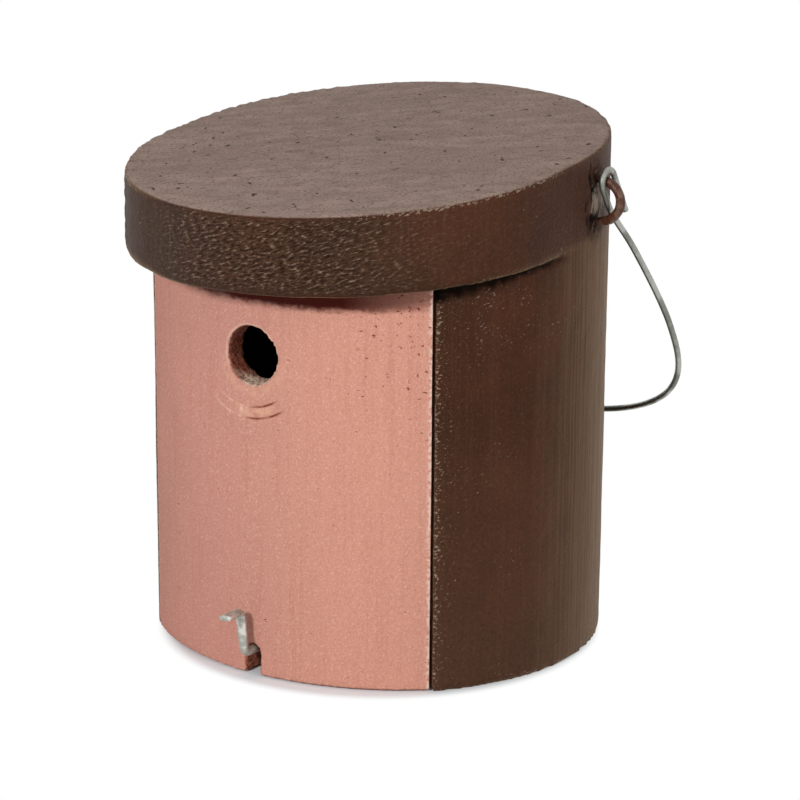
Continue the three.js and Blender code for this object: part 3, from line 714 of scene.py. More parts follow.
def terracotta_concrete():
    """Terracotta wood-concrete, cast face down and left unpainted: dead matt and sandy, with open pores
    towards one corner and the crumbly cut walls of the entrance and the notch; with the roof lip's painted
    shadow across its top, painted light on the entrance's lower wall and the notch's walls, and painted
    highlights on its arrises, the entrance's edge and the arcs."""
    c = colours()
    material, tree, place = new_material("terracotta_wood_concrete")
    x, y, z = add(tree, "SeparateXYZ", {0: place}).node.outputs
    # The 'arris' mark holds the painted highlight on the upright arrises, and 'rubbed' the painted light on
    # the entrance's lower wall.
    pitted, cut, rubbed, scraped, arris = marks(tree, "pitted", "cut", "rubbed", "scraped", "arris")
    face, sand, shaded_pits = sandy_face(tree, place, x, pitted)
    # Painted shadow of the roof's lip across the panel's top.
    lip_shadow = painted_lip_shadow(tree, place, x, y, z)
    face = layered(tree, face, (lip_shadow, c.painted_lip_shadow), (scraped, c.rubbed_face))

    # Cut walls: crumbs of dark and pale grit, with painted light that makes the notch's walls paler and the
    # entrance's lower side palest.
    crumbs = patches(tree, place, 1.7, 0.42, 0.66, 0.8, detail=3)
    # painted light on the notch's walls, low on the panel
    low = add(tree, "MapRange", {0: z, 1: mm(60), 2: mm(30)})
    rim = layered(tree, c.painted_entrance_light, (crumbs, c.crumbs_in_entrance_light))
    wall = layered(tree, c.cut_wall, (low, c.lit_notch_wall), (crumbs, c.cut_dark), (rubbed, rim))

    # Painted highlights on the entrance's upper edge and on the upright arrises, broken by the crumbs, and
    # one pale crumb.
    hole_z = add(tree, "Math", {0: z, 1: hole_height(sizes())}, operation="SUBTRACT")
    edge_highlight = entrance_highlight(tree, x, hole_z)
    arris_highlights = add(tree, "Math", {0: arris, 1: crumbs}, operation="SUBTRACT", use_clamp=True)
    crumb_x = add(tree, "Math", {0: x, 1: mm(CRUMB[0])}, operation="SUBTRACT")
    crumb_z = add(tree, "Math", {0: hole_z, 1: mm(CRUMB[1])}, operation="SUBTRACT")
    crumb = ring(tree, crumb_x, crumb_z, 0, 1.6)
    shade = layered(
        tree, face, (cut, wall), (edge_highlight, c.concrete_pale), (arris_highlights, c.arris_highlight), (crumb, c.concrete_pale)
    )

    grooves = []
    # Each arc: its painted highlight, then its groove in painted shade.
    for arc_highlights, groove in scored_arcs(tree, place, x, z):
        shade = layered(tree, shade, (arc_highlights, c.concrete_pale), (groove, c.pore_shade))
        grooves.append((groove, -0.3))
    rough = add(tree, "Math", {0: crumbs, 1: cut}, **TIMES)
    normal = bumpy(tree, 1, (shaded_pits, -0.15), *grooves, (sand, 0.3), (rough, 0.6))
    shader = add(tree, "BsdfPrincipled", {
        "Base Color": shade, "Roughness": 0.95, "Specular IOR Level": 0.15, "Normal": normal
    })
    add(tree, "OutputMaterial", {"Surface": shader})
    return material


def galvanised(name, bright, dull, roughness, spangle_mm):
    """Hot-dip galvanised steel wire: cloudy zinc whose gloss and tone drift along the wire, with dull,
    rougher patches."""
    material, tree, place = new_material(name)
    drift = patches(tree, place, spangle_mm, 0.38, 0.62, detail=3)
    zinc = layered(tree, bright, (drift, dull))
    gloss = add(tree, "MapRange", {0: drift, 3: roughness, 4: roughness + 0.16})
    drawn = clouds(tree, place, 0.8)
    normal = bumpy(tree, 0.08, (drawn, 1.0))
    shader = add(tree, "BsdfPrincipled", {
        "Base Color": zinc, "Metallic": 1.0, "Roughness": gloss, "Normal": normal
    })
    add(tree, "OutputMaterial", {"Surface": shader})
    return material


def painted_staple():
    """The same brown paint run over steel wire: thick and satin, rubbed paler in patches."""
    c = colours()
    material, tree, place = new_material("brown_paint_on_steel_wire")
    rubbed = patches(tree, place, 5, 0.46, 0.66, 0.8, detail=3)
    shade = layered(tree, c.paint, (rubbed, c.paint_rubbed))
    lumps = clouds(tree, place, 2.5, detail=3)
    normal = bumpy(tree, 0.6, (lumps, 1.0))
    shader = add(tree, "BsdfPrincipled", {
        "Base Color": shade, "Roughness": 0.4, "Specular IOR Level": 0.3, "Normal": normal
    })
    add(tree, "OutputMaterial", {"Surface": shader})
    return material


def plug_nylon():
    """Moulded grey nylon, dusty from the casting."""
    c = colours()
    material, tree, place = new_material("moulded_grey_nylon")
    dust = patches(tree, place, 3, 0.4, 0.65, detail=3)
    shade = layered(tree, c.nylon, (dust, c.nylon_dusty))
    normal = bumpy(tree, 0.05, (dust, 1.0))
    shader = add(tree, "BsdfPrincipled", {"Base Color": shade, "Roughness": 0.55, "Normal": normal})
    add(tree, "OutputMaterial", {"Surface": shader})
    return material


# Castings ------------------------------------------------------------------------------------


def rim_at(s, y):
    """Height of the roof's underside at a place along Y."""
    return s.height - s.roof_thickness + y * math.tan(s.rim_fall)


def top_at(s, y):
    """Height of the roof's top at a place along Y."""
    return s.height + y * math.tan(s.roof_fall)


def hole_height(s):
    return rim_at(s, PANEL_LOW.y) - s.hole_drop


def up_normal(fall):
    """Normal of a plane that rises to the back."""
    return Vector((0, -math.sin(fall), math.cos(fall)))


def panel_radius(s):
    return -PANEL_LOW.y + s.panel_flattening


def floor_edge(s):
    """Radius of the floor's front edge, about the panel's own centre."""
    return panel_radius(s) - s.panel_thickness - s.floor_clearance


def bearing(co):
    """Degrees round the body's axis from the front, the same on both sides."""
    return math.degrees(abs(math.atan2(co.x, -co.y)))


def cut_above_rim(obj, s, extra=0.0):
    slice_off(obj, (0, 0, s.height - s.roof_thickness + extra), up_normal(s.rim_fall))


def chamber(s):
    """The hollow of the box, from the floor up to the sunk ceiling."""
    made = upright_cylinder("chamber", s.body_radius - s.wall, s.floor, s.height)
    cut_above_rim(made, s, s.recess)
    return made


def body_blank(s):
    """Wall and floor, with the front opening cut back to the floor's curved edge."""
    body = upright_cylinder("body_blank", s.body_radius, 0, s.height)
    cut_above_rim(body, s, s.recess)
    combine(body, chamber(s))
    opening = wedge("opening", s.opening, -s.floor, s.height)
    edge = floor_edge(s)
    combine(opening, upright_cylinder("floor_edge", edge, 0, s.floor, s.panel_flattening))
    combine(body, opening)
    for turn in (TURN / 4, TURN * 7 / 12, TURN * 11 / 12):
        x, y = s.drain_circle * math.cos(turn), s.drain_circle * math.sin(turn)
        drain = upright_cylinder("drain", s.drain / 2, -s.floor, 2 * s.floor, y, x, BAR)
        combine(body, drain)
    front = s.panel_flattening - edge
    radius, back = s.plug_bore / 2, front + s.plug_depth
    return combine(body, level_cylinder("plug_bore", radius, front - s.wall, back, HOOK_AXIS.z))


def roof_blank(s):
    """The roof slab: a round slab drawn forward, cut to its two slopes, rounded and hollowed."""
    roof = upright_cylinder("roof_blank", s.body_radius, 0, s.height + s.wall * 2)
    edit(roof, lambda vertex: vertex.co.y < -mm(1))
    bpy.ops.transform.translate(value=(0, -s.overhang, 0))
    leave_edit()
    slice_off(roof, (0, 0, s.height), up_normal(s.roof_fall))
    slice_off(roof, (0, 0, s.height - s.roof_thickness), -up_normal(s.rim_fall))
    edit(roof, lambda edge: edge.is_manifold and edge.calc_face_angle() > math.radians(45), "EDGE")
    bpy.ops.mesh.bevel(offset=s.arris, segments=4, affect="EDGES")
    leave_edit()
    combine(roof, chamber(s))
    lip = wedge("lip_recess", s.opening, 0, s.height)
    lip_circle = upright_cylinder(
        "lip_circle", panel_radius(s) + s.lip_clearance, 0, s.height, s.panel_flattening
    )
    combine(lip, lip_circle, "INTERSECT")
    cut_above_rim(lip, s, s.recess)
    return combine(roof, lip)


def staple_legs(s):
    """Where the four staple legs enter the wall."""
    leg_x = math.sqrt(s.body_radius**2 - BAIL_AXIS.y**2)
    return [
        Vector((side * leg_x, BAIL_AXIS.y, BAIL_AXIS.z + drop))
        for side in (1, -1)
        for drop in (mm(1), -s.staple_spread - mm(1))
    ]


def under_roof_crack(s, co):
    """How much of the rough crack under the overhang's end is here, from 0 to 1."""
    turn = bearing(co)
    ends = smooth_step(44, 48, turn) * smooth_step(88, 78, turn)
    width = mm(3.2 + 6.2 * smooth_step(80, 46, turn))
    below = rim_at(s, co.y) - co.z + 0.25 * width * noise.noise(co * 260)
    return ends * smooth_step(-mm(1.2), mm(0.6), below) * smooth_step(width, 0.6 * width, below)


def casting_relief(s):
    """The hand-cast unevenness of the body, in metres, at a point."""
    legs = staple_legs(s)

    def depth(co, normal):
        p = co * 1000
        swell = 0.26 * noise.noise(p / 36) + 0.12 * noise.noise(p / 9)
        grain = 0.07 * noise.noise(p / 3.3)
        side = 1 - abs(normal.z)
        wrinkle = 0.5 * wrinkled_paint(s, co) * noise.noise(Vector((p.x, p.y, p.z * 2.2)) / 5.5)
        crack = -2.0 * under_roof_crack(s, co) * side * on_outside(s, co)
        edge = bump_at(bearing(co), math.degrees(s.opening) + 0.3, 1.0) * on_outside(s, co)
        chipped = -0.6 * edge * max(noise.noise(p / 2.6) + 0.25, 0)
        pocket = -1.5 * sum(bump_at((co - leg).length, 0, mm(4.5)) for leg in legs)
        torn = -0.8 * torn_patch(s, co)
        arris = bump_at(co.z - top_at(s, co.y), -mm(1), mm(1.6)) * side
        worn = -0.22 * arris * max(noise.noise(p / 4.5), 0)
        foot = -0.2 * bump_at(co.z, 0, mm(2)) * side * max(noise.noise(p / 7), 0)
        lumps = 0.6 * lumpy_end(s, co) * noise.noise(p / 3.4)
        return mm(swell + grain + wrinkle + crack + chipped + pocket + torn + worn + foot + lumps)

    return depth


def lumpy_end(s, co):
    """The rim's left end, where the casting stayed coarse under the coat."""
    on_rim = smooth_step(0, mm(3), co.z - rim_at(s, co.y))
    return on_rim * smooth_step(-mm(66), -mm(84), co.x) * on_outside(s, co)


def on_outside(s, co):
    return smooth_step(s.body_radius - mm(6), s.body_radius - mm(1.5), math.hypot(co.x, co.y))


def wrinkled_paint(s, co, normal=None):
    """The rim's coat ran thick and wrinkled as it dried, most of all round the front."""
    over_rim = smooth_step(mm(0.5), mm(5), co.z - rim_at(s, co.y))
    under_top = smooth_step(0, -mm(3), co.z - top_at(s, co.y))
    turn = bearing(co)
    front = smooth_step(-mm(46), -mm(6), co.x) * smooth_step(mm(98), mm(45), co.x)
    front *= smooth_step(75, 60, turn)
    return over_rim * under_top * (0.1 + 0.9 * front) * smooth_step(170, 150, turn)


def chipped_paint(s, co, normal=None):
    """How readily the paint is off: along the arrises, the foot and the roof's edge, and in
    clusters on the wall."""
    turn = bearing(co)
    from_arris = turn - math.degrees(s.opening)
    wall = smooth_step(mm(1), -mm(1), co.z - rim_at(s, co.y)) * smooth_step(-2, 0, from_arris)
    wall *= on_outside(s, co)
    arris = 0.78 * wall * smooth_step(2.2, 0.4, from_arris)
    near_arris = 0.4 * wall * smooth_step(9, 1, from_arris)
    foot = 0.75 * smooth_step(mm(5), mm(1), co.z) * smooth_step(-0.2, 0.3, noise.noise(co * 90))
    over_rim = co.z - rim_at(s, co.y)
    # Along the roof's top arris at the right, the pale grains are partly chipped paint and partly a painted
    # highlight.
    top_edge = 1.1 * bump_at(co.z - top_at(s, co.y), -mm(1.1), mm(0.9))
    top_edge *= smooth_step(22, 34, turn) * smooth_step(92, 74, turn)
    lip = 0.7 * bump_at(over_rim, mm(0.8), mm(1.4)) * smooth_step(50, 60, turn) * smooth_step(95, 80, turn)
    clusters = 0.3 * smooth_step(0.1, 0.5, noise.noise(co * 1000 / 22 + Vector((3, 1, 2))))
    clusters *= 1 - wrinkled_paint(s, co)
    under = 0.4 * smooth_step(46, 52, turn) * smooth_step(88, 70, turn) * smooth_step(mm(138), mm(165), co.z)
    under *= smooth_step(mm(1), -mm(3), over_rim) * (0.75 + 0.7 * noise.noise(co * 1000 / 8))
    return max(arris, near_arris, foot, top_edge, lip, clusters, under)


def pale_wall_patch(s, co, normal=None):
    """The pale patch between a staple's legs."""
    middle = Vector((0, BAIL_AXIS.y - mm(1), BAIL_AXIS.z - s.staple_spread / 2))
    away = (Vector((0, co.y, co.z)) - middle) * 1000
    reach = math.hypot(away.y / 8.5, away.z / 12) + 0.45 * noise.noise(co * 330)
    return smooth_step(1.15, 0.8, reach) * on_outside(s, co)


def painted_recess_shade(s, co, normal=None):
    """Painted shade in the dents round the staples' legs and in the crack under the roof, which turns them
    near black.
    """
    towards_front = Vector((0, mm(4), 0))
    dents = sum(bump_at((co - leg + towards_front).length, 0, mm(6)) for leg in staple_legs(s))
    dents *= 2 * max(0.6 + 1.2 * noise.noise(co * 350), 0.2)
    return min(1, max(dents, torn_patch(s, co), 0.95 * under_roof_crack(s, co)))


def torn_patch(s, co):
    """Ragged upright tears beside each staple, where it was pushed into the wet casting."""
    y, z = co.y - BAIL_AXIS.y + mm(9), co.z - BAIL_AXIS.z + mm(7)
    reach = math.hypot(y / mm(7), z / mm(19))
    ragged = noise.noise(Vector((co.x * 420, co.y * 420, co.z * 170)))
    return smooth_step(1.1, 0.7, reach) * smooth_step(0.02, 0.2, ragged) * on_outside(s, co)


class NESTBOX_OT_casting(bpy.types.Operator):
    """Cast body and roof, painted as one"""

    bl_idname = "nestbox.casting"
    bl_label = "Body casting and roof"

    def execute(self, context):
        s = sizes()
        casting = body_blank(s)
        roof = roof_blank(s)
        pick(casting, roof)
        bpy.ops.object.join()
        casting.name = "nest_box_casting"
        recast(casting, s.grain, 2)
        relief(casting, casting_relief(s))
        thin_out(casting, lambda co: inside_box(s, co) or on_underside(s, co), 0.08)
        mark(casting, s, {
            "wrinkled": wrinkled_paint,
            "chipped": chipped_paint,
            "pale_patch": pale_wall_patch,
            "sunk": painted_recess_shade,
        })
        dress(casting, "box", "painted_concrete", masonry_paint(), "body_shell", "roof")
        casting.data.materials.append(bare_wood_concrete())
        for face in casting.data.polygons:
            if inside_box(s, face.center):
                face.material_index = 1
        return {"FINISHED"}


def inside_box(s, co):
    lined = math.hypot(co.x, co.y) < s.body_radius - s.wall + mm(1.5)
    return lined and co.z < rim_at(s, co.y) + s.recess + mm(2)


def on_underside(s, co):
    return co.z < mm(1) and math.hypot(co.x, co.y) < s.body_radius - mm(7)


def panel_blank(s):
    """The keystone panel: a ring segment with its entrance hole and its notch."""
    outer = panel_radius(s)
    half = s.opening - s.panel_gap / s.body_radius
    panel = upright_cylinder("front_panel_slab", outer, PANEL_LOW.z, s.height, s.panel_flattening)
    back = upright_cylinder(
        "panel_back", outer - s.panel_thickness, -s.floor, 2 * s.height, s.panel_flattening
    )
    combine(panel, back)
    combine(panel, wedge("keystone", half, -s.floor, 2 * s.height), "INTERSECT")
    cut_above_rim(panel, s, s.panel_rebate)
    combine(panel, level_cylinder("entrance", s.hole / 2, 2 * PANEL_LOW.y, 0, hole_height(s), ROUND))
    return combine(panel, notch_cutter(s))


def notch_cutter(s):
    """A round bar whose lower half is drawn down, for the arched notch."""
    crown = s.notch_height - s.notch / 2
    front = PANEL_LOW.y - s.wall
    cutter = level_cylinder("notch", s.notch / 2, front, front + 3 * s.wall, crown)
    edit(cutter, lambda vertex: vertex.co.z < crown - mm(0.1))
    bpy.ops.transform.translate(value=(0, 0, -s.floor))
    leave_edit()
    return cutter


def cut_face(s, co, normal):
    """1 on the walls of the entrance and the notch."""
    in_hole = math.hypot(co.x, co.z - hole_height(s)) < s.hole / 2 + mm(1.2)
    in_notch = abs(co.x) < s.notch / 2 + mm(1.2) and co.z < s.notch_height + mm(1.2)
    facing = math.hypot(normal.x, normal.z)
    return smooth_step(0.45, 0.85, facing) if in_hole or in_notch else 0


def pitted_face(s, co, normal=None):
    """Open pores gather towards the panel's upper corner."""
    return smooth_step(mm(28), mm(62), co.x) * smooth_step(mm(95), mm(165), co.z)


def painted_entrance_light(s, co, normal=None):
    """Painted light on the lower half of the entrance's wall, which turns it pale sand."""
    up = co.z - hole_height(s)
    lower = smooth_step(-mm(6), -mm(13), up + mm(5) * noise.noise(co * 220) - 0.25 * co.x)
    return lower if up > -s.hole else 0


def scraped_face(s, co, normal=None):
    """The scuffed face between the scored arcs, and just below the entrance."""
    x, up = co.x * 1000 - ARC_CENTRE[0], (co.z - hole_height(s)) * 1000 - ARC_CENTRE[1]
    upper, lower = (arc[0] for arc in SCORED_ARCS)
    between = bump_at(math.hypot(x, up), (upper + lower) / 2, 2.6) * smooth_step(-18, -24, up)
    below = bump_at(math.hypot(co.x, co.z - hole_height(s)) * 1000, 16.5, 2.5) * smooth_step(-4, -12, up)
    right = smooth_step(-13, -5, x) * smooth_step(17, 9, x)
    patchy = smooth_step(-0.4, 0.25, noise.noise(co * 450))
    return max(0.9 * between * right, 0.5 * below) * patchy


def painted_arris_highlight(s, co, normal=None):
    """Painted highlight on the panel's two upright front arrises: a thin pale line."""
    edge = math.degrees(s.opening - s.panel_gap / s.body_radius)
    return bump_at(bearing(co), edge, 0.75) * smooth_step(0.2, -0.3, normal.y)


def panel_relief(s):
    def depth(co, normal):
        p = co * 1000
        up = p.z - hole_height(s) * 1000
        swell = 0.14 * noise.noise(p / 30) + 0.05 * noise.noise(p / 6)
        grain = 0.05 * noise.noise(p / 2.2)
        reach = math.hypot(p.x, up)
        crumbly = 0.5 * bump_at(reach, 14, 1.8) * noise.noise(p / 2.2)
        in_wall = bump_at(reach, 14, 1.2) * smooth_step(0.6, 0.9, math.hypot(normal.x, normal.z))
        inward = smooth_step(0, 9, p.y - PANEL_LOW.y * 1000 - 1)
        crumbly += in_wall * (0.4 + 1.1 * inward * smooth_step(-5, -11, up))
        rubbed = -0.4 * bump_at(reach, 14.3, 1.5) * smooth_step(2, -8, up) * (1 - in_wall)
        face = smooth_step(-0.2, -0.7, normal.y)
        across, over = p.x - ARC_CENTRE[0], up - ARC_CENTRE[1]
        scored = 0
        for radius, start, end in SCORED_ARCS:
            along = smooth_step(start - 4, start + 2, across) * smooth_step(end + 2, end - 3, across)
            scored -= 0.4 * bump_at(math.hypot(across, over), radius, 0.9) * along * (over < 0)
        crumb = 0.5 * bump_at(math.hypot(p.x - CRUMB[0], up - CRUMB[1]), 0, 1.3)
        in_notch = abs(p.x) < s.notch * 500 + 1 and p.z < s.notch_height * 1000 + 1
        rough = 0.45 * noise.noise(p / 2.0) if in_notch else 0
        foot = -0.6 * bump_at(p.z, 1, 2.0) * max(noise.noise(p / 4.2) + 0.15, 0) * (1 - abs(normal.z))
        return mm(swell + grain + crumbly + rubbed + (scored + crumb) * face + rough + foot)

    return depth


class NESTBOX_OT_front_panel(bpy.types.Operator):
    """Keystone front panel with the entrance hole"""

    bl_idname = "nestbox.front_panel"
    bl_label = "Front panel"

    def execute(self, context):
        s = sizes()
        panel = panel_blank(s)
        recast(panel, s.panel_grain, 1)
        relief(panel, panel_relief(s))
        mark(panel, s, {
            "cut": cut_face,
            "pitted": pitted_face,
            # painted light on the entrance's lower wall
            "rubbed": painted_entrance_light,
            "scraped": scraped_face,
            # painted highlight on the upright arrises
            "arris": painted_arris_highlight,
        })
        dress(panel, "panel", "bare_concrete", terracotta_concrete(), "front_panel")
        return {"FINISHED"}


# Wire parts ----------------------------------------------------------------------------------


def wire(name, points, radius, sides=6):
    """A round wire along a line of points, with its cut ends closed and eased."""
    curve = bpy.data.curves.new(name, "CURVE")
    curve.dimensions = "3D"
    curve.bevel_depth = radius
    curve.bevel_resolution = sides
    curve.use_fill_caps = True
    spline = curve.splines.new("POLY")
    spline.points.add(len(points) - 1)
    for point, place in zip(spline.points, points):
        point.co = (*place, 1)
    made = bpy.data.objects.new(name, curve)
    bpy.context.scene.collection.objects.link(made)
    pick(made)
    bpy.ops.object.convert(target="MESH")
    made = bpy.context.object
    edit(made, lambda edge: True, "EDGE")
    bpy.ops.mesh.remove_doubles(threshold=1e-6)
    leave_edit()
    ease = {"width": radius * 0.25, "segments": 3, "limit_method": "ANGLE"}
    modify(made, "BEVEL", angle_limit=math.radians(60), **ease)
    return made


def arc_points(centre, start, axis, turn, count):
    """Points on an arc that begins at centre + start and turns about an axis."""
    return [centre + Matrix.Rotation(turn * i / (count - 1), 3, axis) @ start for i in range(count)]


def bezier(corners, count):
    """Points along a Bezier curve, without its first."""
    made = []
    for i in range(1, count + 1):
        level = list(corners)
        while len(level) > 1:
            level = [a.lerp(b, i / count) for a, b in zip(level, level[1:])]
        made.append(level[0])
    return made


def hook_points(s):
    """Shaft, arm and tab of the turning hook, upright, from the shaft's inner end."""
    bend = s.hook_bend
    arm_y = PANEL_LOW.y - s.hook_standoff - s.hook_rod / 2
    shaft_z = HOOK_AXIS.z
    tab_z = shaft_z + s.hook_arm
    down = Vector((0, 0, -bend))
    back = Vector((0, bend, 0))
    lower = arc_points(Vector((0, arm_y + bend, shaft_z + bend)), down, "X", -math.pi / 2, 9)
    upper = arc_points(Vector((0, arm_y - bend, tab_z - bend)), back, "X", math.pi / 2, 9)
    shaft_end = Vector((0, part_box("turn_hook")[1].y, shaft_z))
    straight = s.tab_reach - bend
    tab = [Vector((0, arm_y - bend - straight * i / 12, tab_z)) for i in range(1, 13)]
    return [shaft_end, *lower, *upper, *tab]


def flatten_tab(s, hook, start, height):
    """Hammers the end of the rod flat and wide, with cut corners, and broadens the arm to it."""
    tip = min(v.co.y for v in hook.data.vertices)
    for vertex in hook.data.vertices:
        co = vertex.co
        along = smooth_step(start + mm(1.4), start - mm(2.2), co.y)
        corner = smooth_step(tip + mm(1.2), tip, co.y)
        arm = 0.25 * smooth_step(HOOK_AXIS.z + mm(1), HOOK_AXIS.z + mm(6), co.z)
        arm *= smooth_step(start + mm(12), start + mm(8), co.y)
        wider = s.tab_width / s.hook_rod - 1
        co.x *= 1 + max(arm, along * (wider - 0.12 * corner))
        boxed = math.copysign(abs((co.z - height) / (s.hook_rod / 2)) ** 0.5, co.z - height)
        co.z += along * (height + s.tab_thickness / 2 * boxed - co.z)


class NESTBOX_OT_turn_hook(bpy.types.Operator):
    """Turning hook with its flattened thumb tab"""

    bl_idname = "nestbox.turn_hook"
    bl_label = "Turning hook"

    def execute(self, context):
        s, c = sizes(), colours()
        points = hook_points(s)
        hook = wire("turning_hook", points, s.hook_rod / 2, 8)
        flatten_tab(s, hook, points[-13].y, points[-1].z)
        lean = Matrix.Rotation(-s.hook_lean, 4, "Y")
        hook.data.transform(Matrix.Translation(HOOK_AXIS) @ lean @ Matrix.Translation(-HOOK_AXIS))
        relief(hook, lambda co, normal: mm(0.07) * noise.noise(co * 500))
        zinc = galvanised("bright_zinc_on_steel_wire", c.zinc, c.zinc_dull, 0.48, 4)
        dress(hook, "hook", "bright_steel", zinc, "turn_hook")
        return {"FINISHED"}


def loop_plane(s):
    """How far out from the body's axis the bail's loops stand."""
    return s.body_radius + s.bail_rod / 2 + LOOP_SIDE_GAP


def bail_points(s):
    """The bail from one cut end to the other, as it rests against the back of the wall."""
    loop_radius, loop_shift = mm(5.5), mm(0.9)
    straight, neck, shoulder, tail = mm(9), mm(42), mm(90), mm(23.5)
    seat = (s.staple_rod / 2 + LOOP_SEAT_GAP + s.bail_rod / 2) * math.hypot(1, STAPLE_SPLAY)
    drop = math.sqrt((loop_radius - seat) ** 2 - loop_shift**2)
    front = loop_shift - loop_radius
    loop_x = loop_plane(s)
    neck_x, run_x = s.body_radius + mm(4.8), s.body_radius + mm(11)
    back = loop_shift + loop_radius

    half = [Vector((loop_x, back, -tail + (tail - drop) * i / 8)) for i in range(8)]
    centre = Vector((loop_x, loop_shift, -drop))
    half += arc_points(centre, Vector((0, loop_radius, 0)), "X", math.pi, 25)
    half += bezier([half[-1], Vector((loop_x, front, -straight))], 4)
    half += bezier([
        Vector((loop_x, front, -straight)),
        Vector((loop_x, front, -straight - mm(10))),
        Vector((neck_x - mm(2.3), 0, -neck + mm(12))),
        Vector((neck_x, 0, -neck)),
    ], 14)
    half += bezier([
        Vector((neck_x, 0, -neck)),
        Vector((run_x, 0, -(neck + 2 * shoulder) / 3)),
        Vector((run_x, 0, -shoulder)),
    ], 14)
    steps, power = 40, 2 / 2.8
    for i in range(1, steps + 1):
        turn = math.pi / 2 * i / steps
        x = run_x * max(math.cos(turn), 0) ** power
        half.append(Vector((x, 0, -shoulder - (s.bail_reach - shoulder) * math.sin(turn) ** power)))
    rest_y = s.body_radius + s.bail_rod / 2 + BAIL_REST_GAP
    lean = Matrix.Rotation(math.asin((rest_y - BAIL_AXIS.y) / s.bail_reach), 3, "X")
    whole = half + [Vector((-p.x, p.y, p.z)) for p in reversed(half[:-1])]
    return [BAIL_AXIS + lean @ point for point in whole]


class NESTBOX_OT_bail(bpy.types.Operator):
    """Wire bail with its two end loops"""

    bl_idname = "nestbox.bail"
    bl_label = "Bail"

    def execute(self, context):
        s, c = sizes(), colours()
        bail = wire("hanging_bail", bail_points(s), s.bail_rod / 2)
        relief(bail, lambda co, normal: mm(0.02) * noise.noise(co * 200))
        zinc = galvanised("dull_zinc_on_steel_wire", c.bail_zinc, c.bail_zinc_dull, 0.36, 14)
        dress(bail, "bail", "dull_steel", zinc, "hanger_bail")
        return {"FINISHED"}


def staple_points(s, side):
    """One staple, from turned-in foot to turned-in foot. Its side is 1 or -1."""
    bulge, seat, foot, bend = mm(7.5), mm(9), mm(5.5), mm(3.3)
    half_spread = s.staple_spread / 2
    foot_x = math.sqrt(s.body_radius**2 - BAIL_AXIS.y**2) - seat
    loop_x = loop_plane(s)

    def rise(x):
        return half_spread + STAPLE_SPLAY * (loop_x - x)

    corner = Vector((foot_x, 0, rise(foot_x)))
    upper = [Vector((foot_x, 0, rise(foot_x) - foot))]
    inward, outward = Vector((0, 0, -bend)), Vector((1, 0, -STAPLE_SPLAY)).normalized() * bend
    upper += bezier([corner + inward, corner, corner + outward], 8)
    upper.append(Vector((loop_x, 0, rise(loop_x))))
    upper += bezier([
        upper[-1],
        Vector((loop_x + bulge / 2, 0, rise(loop_x + bulge / 2))),
        Vector((loop_x + bulge, 0, s.staple_spread / 4)),
        Vector((loop_x + bulge, 0, 0)),
    ], 16)
    lower = [Vector((p.x, 0, -p.z)) for p in reversed(upper[:-1])]
    middle = BAIL_AXIS.z - half_spread
    return [Vector((side * p.x, BAIL_AXIS.y, middle + p.z)) for p in upper + lower]


class NESTBOX_OT_staples(bpy.types.Operator):
    """The two staples that the bail swings in"""

    bl_idname = "nestbox.staples"
    bl_label = "Staples"

    def execute(self, context):
        s = sizes()
        paint = painted_staple()
        for side, word in ((1, "right"), (-1, "left")):
            staple = wire("bail_staple_" + word, staple_points(s, side), s.staple_rod / 2, 7)
            relief(staple, lambda co, normal: mm(0.16) * noise.noise(co * 260))
            dress(staple, "box", "painted_steel", paint, "staple_" + word)
        return {"FINISHED"}


class NESTBOX_OT_plug(bpy.types.Operator):
    """Wall plug that the hook's shaft turns in"""

    bl_idname = "nestbox.plug"
    bl_label = "Hook plug"

    def execute(self, context):
        plug = frame["nodes"]["hook_plug"]
        plug.data.materials.clear()
        plug.data.materials.append(plug_nylon())
        return {"FINISHED"}


# Stage ---------------------------------------------------------------------------------------


def seen_directly(tree):
    """1 where the camera looks straight at a surface, or sees it in metal or glass."""
    path = add(tree, "LightPath").node.outputs
    seen = add(tree, "Math", {0: path["Is Camera Ray"], 1: path["Is Glossy Ray"]}, operation="MAXIMUM")
    return add(tree, "Math", {0: seen, 1: path["Is Transmission Ray"]}, operation="MAXIMUM")


def white_world(strength):
    """Even light, seen as plain white by the camera and in reflections."""
    world = bpy.data.worlds.new("white_studio")
    world.use_nodes = True
    tree = world.node_tree
    tree.nodes.clear()
    light = add(tree, "Background", {0: (1, 1, 1, 1), 1: strength})
    white = add(tree, "Background", {0: (1, 1, 1, 1), 1: 1.0})
    mixed = add(tree, "MixShader", {0: seen_directly(tree), 1: light, 2: white})
    add(tree, "OutputWorld", {0: mixed})
    bpy.context.scene.world = world


def paper_floor(s):
    """Cool white paper that keeps the shadow round the foot and is plain white further out."""
    material, tree, place = new_material("white_paper_floor")
    shadow = add(tree, "VectorMath", {0: place, 1: SHADOW_SHIFT}, operation="SUBTRACT")
    reach = add(tree, "VectorMath", {0: shadow}, out="Value", operation="LENGTH")
    edge = {0: reach, 1: s.body_radius - mm(8), 2: s.body_radius + mm(1)}
    open_floor = add(tree, "MapRange", edge, **SOFT)
    plain = add(tree, "Math", {0: open_floor, 1: seen_directly(tree)}, **TIMES)
    paper = add(tree, "BsdfDiffuse", {"Color": PAPER})
    white = add(tree, "Emission", {"Color": (1, 1, 1, 1), "Strength": 1.0})
    mixed = add(tree, "MixShader", {0: plain, 1: paper, 2: white})
    add(tree, "OutputMaterial", {"Surface": mixed})
    return material


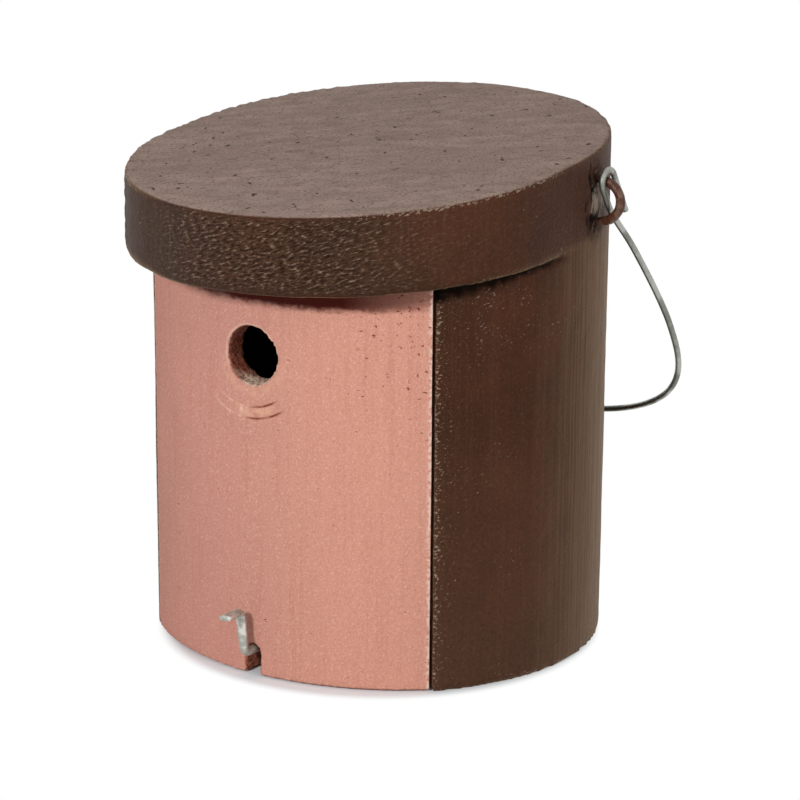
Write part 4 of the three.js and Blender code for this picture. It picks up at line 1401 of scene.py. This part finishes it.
def soft_box(name, lamp_place, power):
    """A square area light that faces the middle of the nest box."""
    azimuth, elevation, size = lamp_place
    light = bpy.data.lights.new(name, "AREA")
    light.size = size
    light.energy = power
    lamp = bpy.data.objects.new(name, light)
    bpy.context.scene.collection.objects.link(lamp)
    around, up = math.radians(azimuth), math.radians(elevation)
    place_towards(lamp, around, up, LAMP_DISTANCE, Vector(BOX_MIDDLE))


def place_towards(obj, azimuth, elevation, distance, target, roll=0.0):
    """Puts a camera or lamp round the box, turned to look at a point."""
    back = Vector((
        math.sin(azimuth) * math.cos(elevation),
        -math.cos(azimuth) * math.cos(elevation),
        math.sin(elevation),
    ))
    obj.matrix_world = (
        Matrix.Translation(target + back * distance)
        @ back.to_track_quat("Z", "Y").to_matrix().to_4x4()
        @ Matrix.Rotation(roll, 4, "Z")
    )


class NESTBOX_OT_stage(bpy.types.Operator):
    """Floor, camera and soft light"""

    bl_idname = "nestbox.stage"
    bl_label = "Stage"

    def execute(self, context):
        settings = context.scene.nest_box_stage
        bpy.ops.object.select_all(action="DESELECT")
        bpy.ops.mesh.primitive_plane_add(size=12, location=(0, 0, -mm(0.05)))
        floor = named("paper_floor")
        floor.data.materials.append(paper_floor(sizes()))
        white_world(settings.ambient)
        soft_box("front_soft_box", FRONT_BOX, settings.key)
        soft_box("side_soft_box", SIDE_BOX, settings.fill)
        camera = bpy.data.objects.new("camera", bpy.data.cameras.new("camera"))
        context.scene.collection.objects.link(camera)
        camera.data.lens = settings.focal
        around, up = settings.azimuth, settings.elevation
        place_towards(camera, around, up, settings.distance, Vector(CAMERA_TARGET), settings.roll)
        context.scene.camera = camera
        context.scene.view_settings.view_transform = "Standard"
        return {"FINISHED"}


# Add-on --------------------------------------------------------------------------------------

OPERATORS = (
    NESTBOX_OT_stage,
    NESTBOX_OT_casting,
    NESTBOX_OT_front_panel,
    NESTBOX_OT_turn_hook,
    NESTBOX_OT_bail,
    NESTBOX_OT_staples,
    NESTBOX_OT_plug,
)


class NESTBOX_PT_panel(bpy.types.Panel):
    """Lists the pieces with their sizes and colours"""

    bl_idname = "NESTBOX_PT_panel"
    bl_label = "Nest box"
    bl_space_type = "VIEW_3D"
    bl_region_type = "UI"
    bl_category = "Nest box"

    def draw(self, context):
        for operator in OPERATORS:
            self.layout.operator(operator.bl_idname)
        for group in (sizes(), colours(), context.scene.nest_box_stage):
            box = self.layout.box()
            for name in group.__annotations__:
                box.prop(group, name)


GROUPS = {
    "nest_box_sizes": NestBoxSizes,
    "nest_box_colours": NestBoxColours,
    "nest_box_stage": NestBoxStage,
}


def register():
    for group in GROUPS.values():
        bpy.utils.register_class(group)
    for name, group in GROUPS.items():
        setattr(bpy.types.Scene, name, PointerProperty(type=group))
    for operator in OPERATORS:
        bpy.utils.register_class(operator)
    bpy.utils.register_class(NESTBOX_PT_panel)


def unregister():
    bpy.utils.unregister_class(NESTBOX_PT_panel)
    for operator in reversed(OPERATORS):
        bpy.utils.unregister_class(operator)
    for name, group in GROUPS.items():
        delattr(bpy.types.Scene, name)
        bpy.utils.unregister_class(group)


def main():
    register()
    bpy.ops.nestbox.stage()
    bpy.ops.nestbox.casting()
    bpy.ops.nestbox.front_panel()
    bpy.ops.nestbox.turn_hook()
    bpy.ops.nestbox.bail()
    bpy.ops.nestbox.staples()
    bpy.ops.nestbox.plug()


if __name__ == "__main__":
    main()
